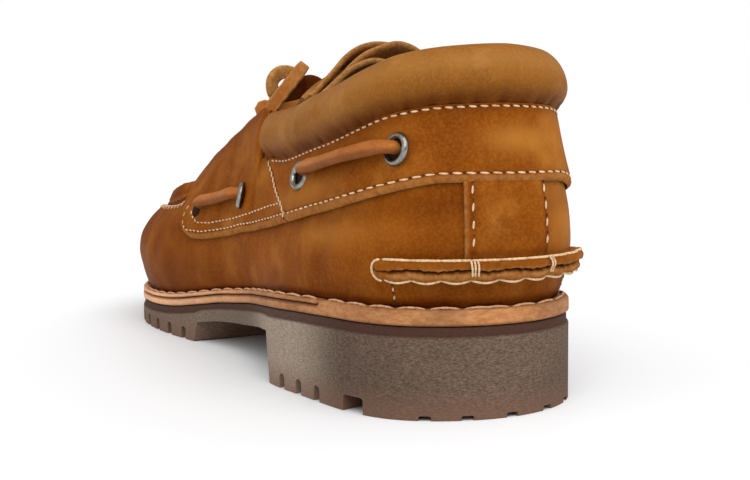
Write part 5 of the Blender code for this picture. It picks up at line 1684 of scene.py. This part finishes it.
# Each strand: the side it starts on, its places along the foot at start, middle and end, how high it rides.
CROSSINGS = ((-1, 178.0, 176.0, 178.0, 1.0), (-1, 174.2, 158.0, 141.8, 1.0), (1, 174.2, 158.0, 141.8, 2.9))
STRAND_LIFT = 3.74


def crossing_route(side, near_y, middle_y, far_y, above):
    """A strand's route over the tongue, from one facing to the other."""
    inside = WALL + 2.6
    near = skin(arc_at(near_y, side > 0), 1.0)[0, 0] * side - inside
    far = skin(arc_at(far_y, side < 0), 1.0)[0, 0] * -side - inside
    route = []
    for share in np.linspace(0, 1, 13):
        x = side * (near * (1 - share) - far * share)
        y = float(np.interp(share, (0.0, 0.5, 1.0), (near_y, middle_y, far_y)))
        z, half, drop = table_at(TONGUE, y)
        top = z - drop * min(1.0, abs(x) / half) ** 2.2
        route.append([x, y, top + STRAND_LIFT + (above - 1.0) * math.sin(math.pi * share)])
    return np.array(route)


def throat_laces():
    made = bmesh.new()
    for i, crossing in enumerate(CROSSINGS):
        line = through(crossing_route(*crossing), 1.2)
        out = np.column_stack([line[:, 0] * 0.035, np.full(len(line), 0.42), np.full(len(line), 1.0)])
        places, raw = lace_places(line, out, LACE_WIDE, LACE_THICK, blunt=False)
        strand = laid_grid(f"strand_{i}", places, {"raw": raw}, round_columns=True, capped=True)
        made.from_mesh(strand.data)
        bpy.data.objects.remove(strand)
    finish_piece(bare_object("throat_laces", made), rawhide, "lace_leather", "lace_crossing")


throat_laces()


# The stitching: waxed thread, thick and cream over the kicker, thick and browner in the welt, and finer
# through the overlays and the toe seam. A stitch is one bead of thread or a short run of them, and dips into
# the leather at both ends.
def waxed_thread(name, pale, deep):
    made, tree, shader = new_surface(name, 0.75, 0.2)
    fine = noise(tree, object_place(tree), 900.0, 3.0, 0.7)
    dress(tree, shader, mix(tree, spread(tree, fine, 0.35, 0.72), pale, deep), fine, 0.00015)
    return made


cream_thread = waxed_thread("cream_thread", (0.76, 0.57, 0.38, 1), (0.46, 0.25, 0.11, 1))
pale_thread = waxed_thread("pale_kicker_thread", (0.76, 0.57, 0.35, 1), (0.47, 0.27, 0.12, 1))
welt_thread = waxed_thread("welt_thread", (0.66, 0.40, 0.24, 1), (0.42, 0.20, 0.10, 1))


def bead(made, start, end, out, radius, sides=6, rings=5):
    """One stitch between two points, in metres, standing along out."""
    along = Vector(end) - Vector(start)
    length = along.length
    along.normalize()
    side = Vector(out).cross(along).normalized()
    up = along.cross(side)
    middle = (Vector(start) + Vector(end)) / 2
    turn = Matrix((along, side, up)).transposed().to_4x4()
    size = Matrix.Diagonal((length / 2, radius, radius * 0.85, 1))
    place = Matrix.Translation(middle) @ turn @ size @ Matrix.Rotation(math.pi / 2, 4, "Y")
    bmesh.ops.create_uvsphere(made, u_segments=sides, v_segments=rings, radius=1, matrix=place)


def lay_thread(made, first, last, lap, out, radius, sides=6, rings=5):
    """A bead between two points (mm), run past both of them by a share of their distance."""
    spots = in_frame([first + (first - last) * lap, last - (first - last) * lap])
    bead(made, spots[0], spots[1], out, radius * MM, sides, rings)


def way_out(at, share):
    return skin(at, share, 1.0)[0] - skin(at, share)[0]


def pour(part, whole):
    """Adds one small mesh in the making to a larger one."""
    mesh = bpy.data.meshes.new("part")
    part.to_mesh(mesh)
    part.free()
    whole.from_mesh(mesh)
    bpy.data.meshes.remove(mesh)


def stitches(whole, all_holes, line, out, pitch, length, radius, lean=0.0):
    """Beads along a line of points (mm), with the directions out of the leather, and dark discs between them,
    painted as the shade in the needle holes.
    """
    made, holes = bmesh.new(), bmesh.new()
    along = np.append(0, np.cumsum(np.linalg.norm(np.diff(line, axis=0), axis=1)))
    count = max(1, int(along[-1] / pitch))
    for i in range(count):
        middle = (i + 0.5) * along[-1] / count
        reach = np.array([middle - length / 2, middle + length / 2])
        ends = np.column_stack([np.interp(reach, along, line[:, k]) for k in range(3)])
        face = np.array([np.interp(middle, along, out[:, k]) for k in range(3)])
        face /= np.linalg.norm(face)
        slant = np.cross(face, ends[1] - ends[0])
        slant /= np.linalg.norm(slant)
        ends[0] += slant * lean
        ends[1] -= slant * lean
        spots = in_frame(ends)
        bead(made, spots[0], spots[1], face, radius * MM)
        # A flat dark disc as the painted shade in the needle hole.
        hole = in_frame(
            ends[1] + (ends[1] - ends[0]) / length * (pitch - length) * 0.5 - face * radius * 0.25
        )
        turn = Vector(face).to_track_quat("Z", "Y").to_matrix().to_4x4()
        place = (
            Matrix.Translation(Vector(hole)) @ turn @ Matrix.Diagonal((0.46 * MM, 0.46 * MM, 0.12 * MM, 1))
        )
        bmesh.ops.create_uvsphere(holes, u_segments=7, v_segments=4, radius=1, matrix=place)
    pour(made, whole)
    pour(holes, all_holes)


def on_skin(points, off):
    """A line of points on the upper from (arc, share) pairs, with the directions out of it."""
    pairs = np.array(points, float)
    run = np.append(0, np.cumsum(np.hypot(np.diff(pairs[:, 0]), np.diff(pairs[:, 1]) * RISE)))
    fine = np.linspace(0, run[-1], max(8, int(run[-1] / 1.0)))
    at, share = np.interp(fine, run, pairs[:, 0]), np.interp(fine, run, pairs[:, 1])
    line = skin(at, share, off)
    return line, skin(at, share, off + 1.0) - line


def both_sides(points):
    """An outer-side line carried round the heel to the inner side."""
    return [(side_arc(a, True) - AROUND, b) for a, b in points] + points[-2::-1]


SADDLE_HEM = ((203.0, 0.685), (204.8, 0.65), (204.6, 0.60), (203.0, 0.56), (200.0, 0.522))
SADDLE_INSIDE = (
    (199.5, 0.64), (196.5, 0.595), (191.0, 0.55), (179.5, 0.53), (166.0, 0.53), (152.0, 0.53), (137.0, 0.598),
    (121.5, 0.645), (109.0, 0.656),
)
SADDLE_ZIGZAG = (
    (135.2, 0.975), (132.4, 0.93), (127.6, 0.86), (122.8, 0.79), (116.6, 0.715), (109.6, 0.64),
    (104.4, 0.575), (101.8, 0.54),
)


def sew_overlays():
    thread, holes = bmesh.new(), bmesh.new()

    def sew(points, off, *stitch):
        line, out = on_skin(points, off)
        stitches(thread, holes, line, out, *stitch)

    def above_edge(at, share, over):
        """The share up the upper that stands some height over an edge."""
        return float(share_at(at, skin(at, share)[0, 2] + over)[0])

    band = both_sides([(a, b) for a, b, _ in BAND])
    sew([(a, above_edge(a, b, 2.45)) for a, b in finer(band, 4)], OVERLAY_TOP - 0.10, 3.9, 2.9, 0.36, 0.12)
    roof = [(a + (c - a) * 0.955, b + (1 - b) * 0.955) for a, b, c in finer(BAND, 4)[1:]]
    sew(both_sides(roof), OVERLAY_TOP + 0.08, 3.4, 2.4, 0.34, 0.12)
    for _, inner in SIDES:
        edge = levelled([(a, b) for a, b, _ in finer(SADDLE[4:], 3)], inner)
        hem = [(side_arc(a, inner), b) for a, b in SADDLE_HEM]
        hem += [(side_arc(a, inner), above_edge(side_arc(a, inner), b, 2.8)) for a, b in edge if a < 195.0]
        sew(hem, OVERLAY_TOP - 0.10, 3.2, 2.3, 0.34, 0.10)
        inside = [(side_arc(a, inner), b) for a, b in levelled(SADDLE_INSIDE, inner)]
        sew(inside, OVERLAY_TOP + 0.04, 3.2, 2.3, 0.33, 0.10)
        zigzag = [(side_arc(a, inner), b) for a, b in SADDLE_ZIGZAG]
        sew(zigzag, OVERLAY_TOP + 0.10, 3.3, 2.9, 0.35, 0.45)
    for arc in STRIP_SEAMS:
        sew([(arc, 0.300), (arc, 0.600)], 1.55, 4.1, 2.5, 0.36, 0.15)
    for _, inner in SIDES:
        at = side_arc(36.6, inner)
        sew([(at, 0.175), (at, 0.03)], 0.15, 2.3, 1.3, 0.30, 0.10)
    # Dark thread colours for the painted shade in the needle holes.
    needle_hole_shade = waxed_thread("needle_hole_shade", (0.075, 0.022, 0.005, 1), (0.03, 0.009, 0.003, 1))
    finish_piece(bare_object("overlay_stitches", thread), cream_thread, "upper_leather")
    finish_piece(bare_object("stitch_hole_shade", holes), needle_hole_shade, "upper_leather")


KICKER_SHARE = 0.28
# Each tie over the kicker: its arc, and where each of its strands starts and ends, measured from that arc.
TIES = (
    (STRIP_SEAMS[0], ((1.0, 0.6), (0.1, -0.1), (-0.8, -1.0))), (STRIP_SEAMS[1], ((0.5, 0.2), (-0.5, -0.6))),
)
OVER_KICKER = ((2.9, 3.4), (2.3, 4.3), (1.5, 4.7), (0.8, 4.6), (0.2, 4.2), (-0.8, 4.1))


def whip_kicker():
    whole = bmesh.new()
    along = np.linspace(0.02, 0.98, 7)
    swing = np.sin(math.pi * along)
    for sign in (1, -1):
        thread = bmesh.new()
        for k in range(9):
            arcs = FIRST_WHIP - k * WHIP - WHIP * along
            line = [
                kicker_line(a, [sign * (2.8 + 0.38 * s)], [GAP + 1.75 + 1.45 * s])[0]
                for a, s in zip(arcs, swing)
            ]
            for arc, first, last in zip(arcs, line[:-1], line[1:]):
                out = way_out(arc, KICKER_SHARE) + np.array([0, 0, sign * 0.8])
                lay_thread(thread, first, last, 0.32, out, 0.44, 7, 6)
        pour(thread, whole)
    loop = bmesh.new()
    turns = np.linspace(-0.5, 0.5, 9) * math.pi
    line = [kicker_line(38.4 + 2.7 * math.cos(u), [2.9 * math.sin(u)], [GAP + 2.6])[0] for u in turns]
    for first, last in zip(line[:-1], line[1:]):
        lay_thread(loop, first, last, 0.25, way_out(38.0, KICKER_SHARE), 0.44, 7, 6)
    pour(loop, whole)
    ties = bmesh.new()
    for arc, strands in TIES:
        for high, low in strands:
            arcs = [arc + high + (low - high) * k / 5 for k in range(len(OVER_KICKER))]
            line = [kicker_line(at, [up], [GAP + out])[0] for at, (up, out) in zip(arcs, OVER_KICKER)]
            for first, last in zip(line[:-1], line[1:]):
                lay_thread(ties, first, last, 0.3, way_out(arc, KICKER_SHARE), 0.34, 7, 6)
    pour(ties, whole)
    finish_piece(bare_object("kicker_whipping", whole), pale_thread, "upper_leather")


HEEL_PITCH = 10.4
# Points in one small mesh before it is poured into the whole.
BATCH = 1200


def sew_welt():
    whole, thread = bmesh.new(), bmesh.new()
    fore = np.arange(arc_at(50.0, False), arc_at(50.0, True), WELT_PITCH)
    heel_arcs = np.arange(
        arc_at(44.0, True) + 1, AROUND, HEEL_PITCH
    ), np.arange(5.0, arc_at(44.0, False) - 4, HEEL_PITCH)
    insets = np.array([2.0, 1.7, 1.7, 2.0])
    rise = np.array([-0.15, 0.30, 0.30, -0.15])
    for arc in np.concatenate([fore, *heel_arcs]):
        steps = np.linspace(arc + 0.9, arc + 9.3, 4)
        row, normal = ring_row(steps), inward(steps)
        points = np.column_stack(
            [row[:, :2] + normal * insets[:, None], row[:, 2] + MIDSOLE_THICK + 0.12 + rise]
        )
        for first, last in zip(points[:-1], points[1:]):
            lay_thread(thread, first, last, 0.2, (0, 0, 1), 0.52)
        if len(thread.verts) > BATCH:
            pour(thread, whole)
            thread = bmesh.new()
    pour(thread, whole)
    finish_piece(bare_object("welt_stitches", whole), welt_thread, "sole_leather")


def sew_toe_seam():
    whole, thread = bmesh.new(), bmesh.new()
    for arc in np.arange(214.0, AROUND - 214.0, TOE_PITCH):
        line, _ = seam_share(arc)
        low = skin(arc, line - 0.030, 0.9)[0]
        rim = skin(arc, line - 0.002, 1.05)[0]
        high = skin(arc, min(1.0, line + 0.022), 0.0)[0]
        for first, last in ((low, rim), (rim, high)):
            lay_thread(thread, first, last, 0.12, way_out(arc, line), 0.30)
        if len(thread.verts) > BATCH:
            pour(thread, whole)
            thread = bmesh.new()
    pour(thread, whole)
    finish_piece(bare_object("toe_seam_thread", whole), cream_thread, "upper_leather")


sew_overlays()
whip_kicker()
sew_welt()
sew_toe_seam()


bpy.context.view_layer.update()
sizes = {"cad": cad_box, "visual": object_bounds()}
{key: [[float(x) for x in corner] for corner in box] for key, box in sizes.items()}
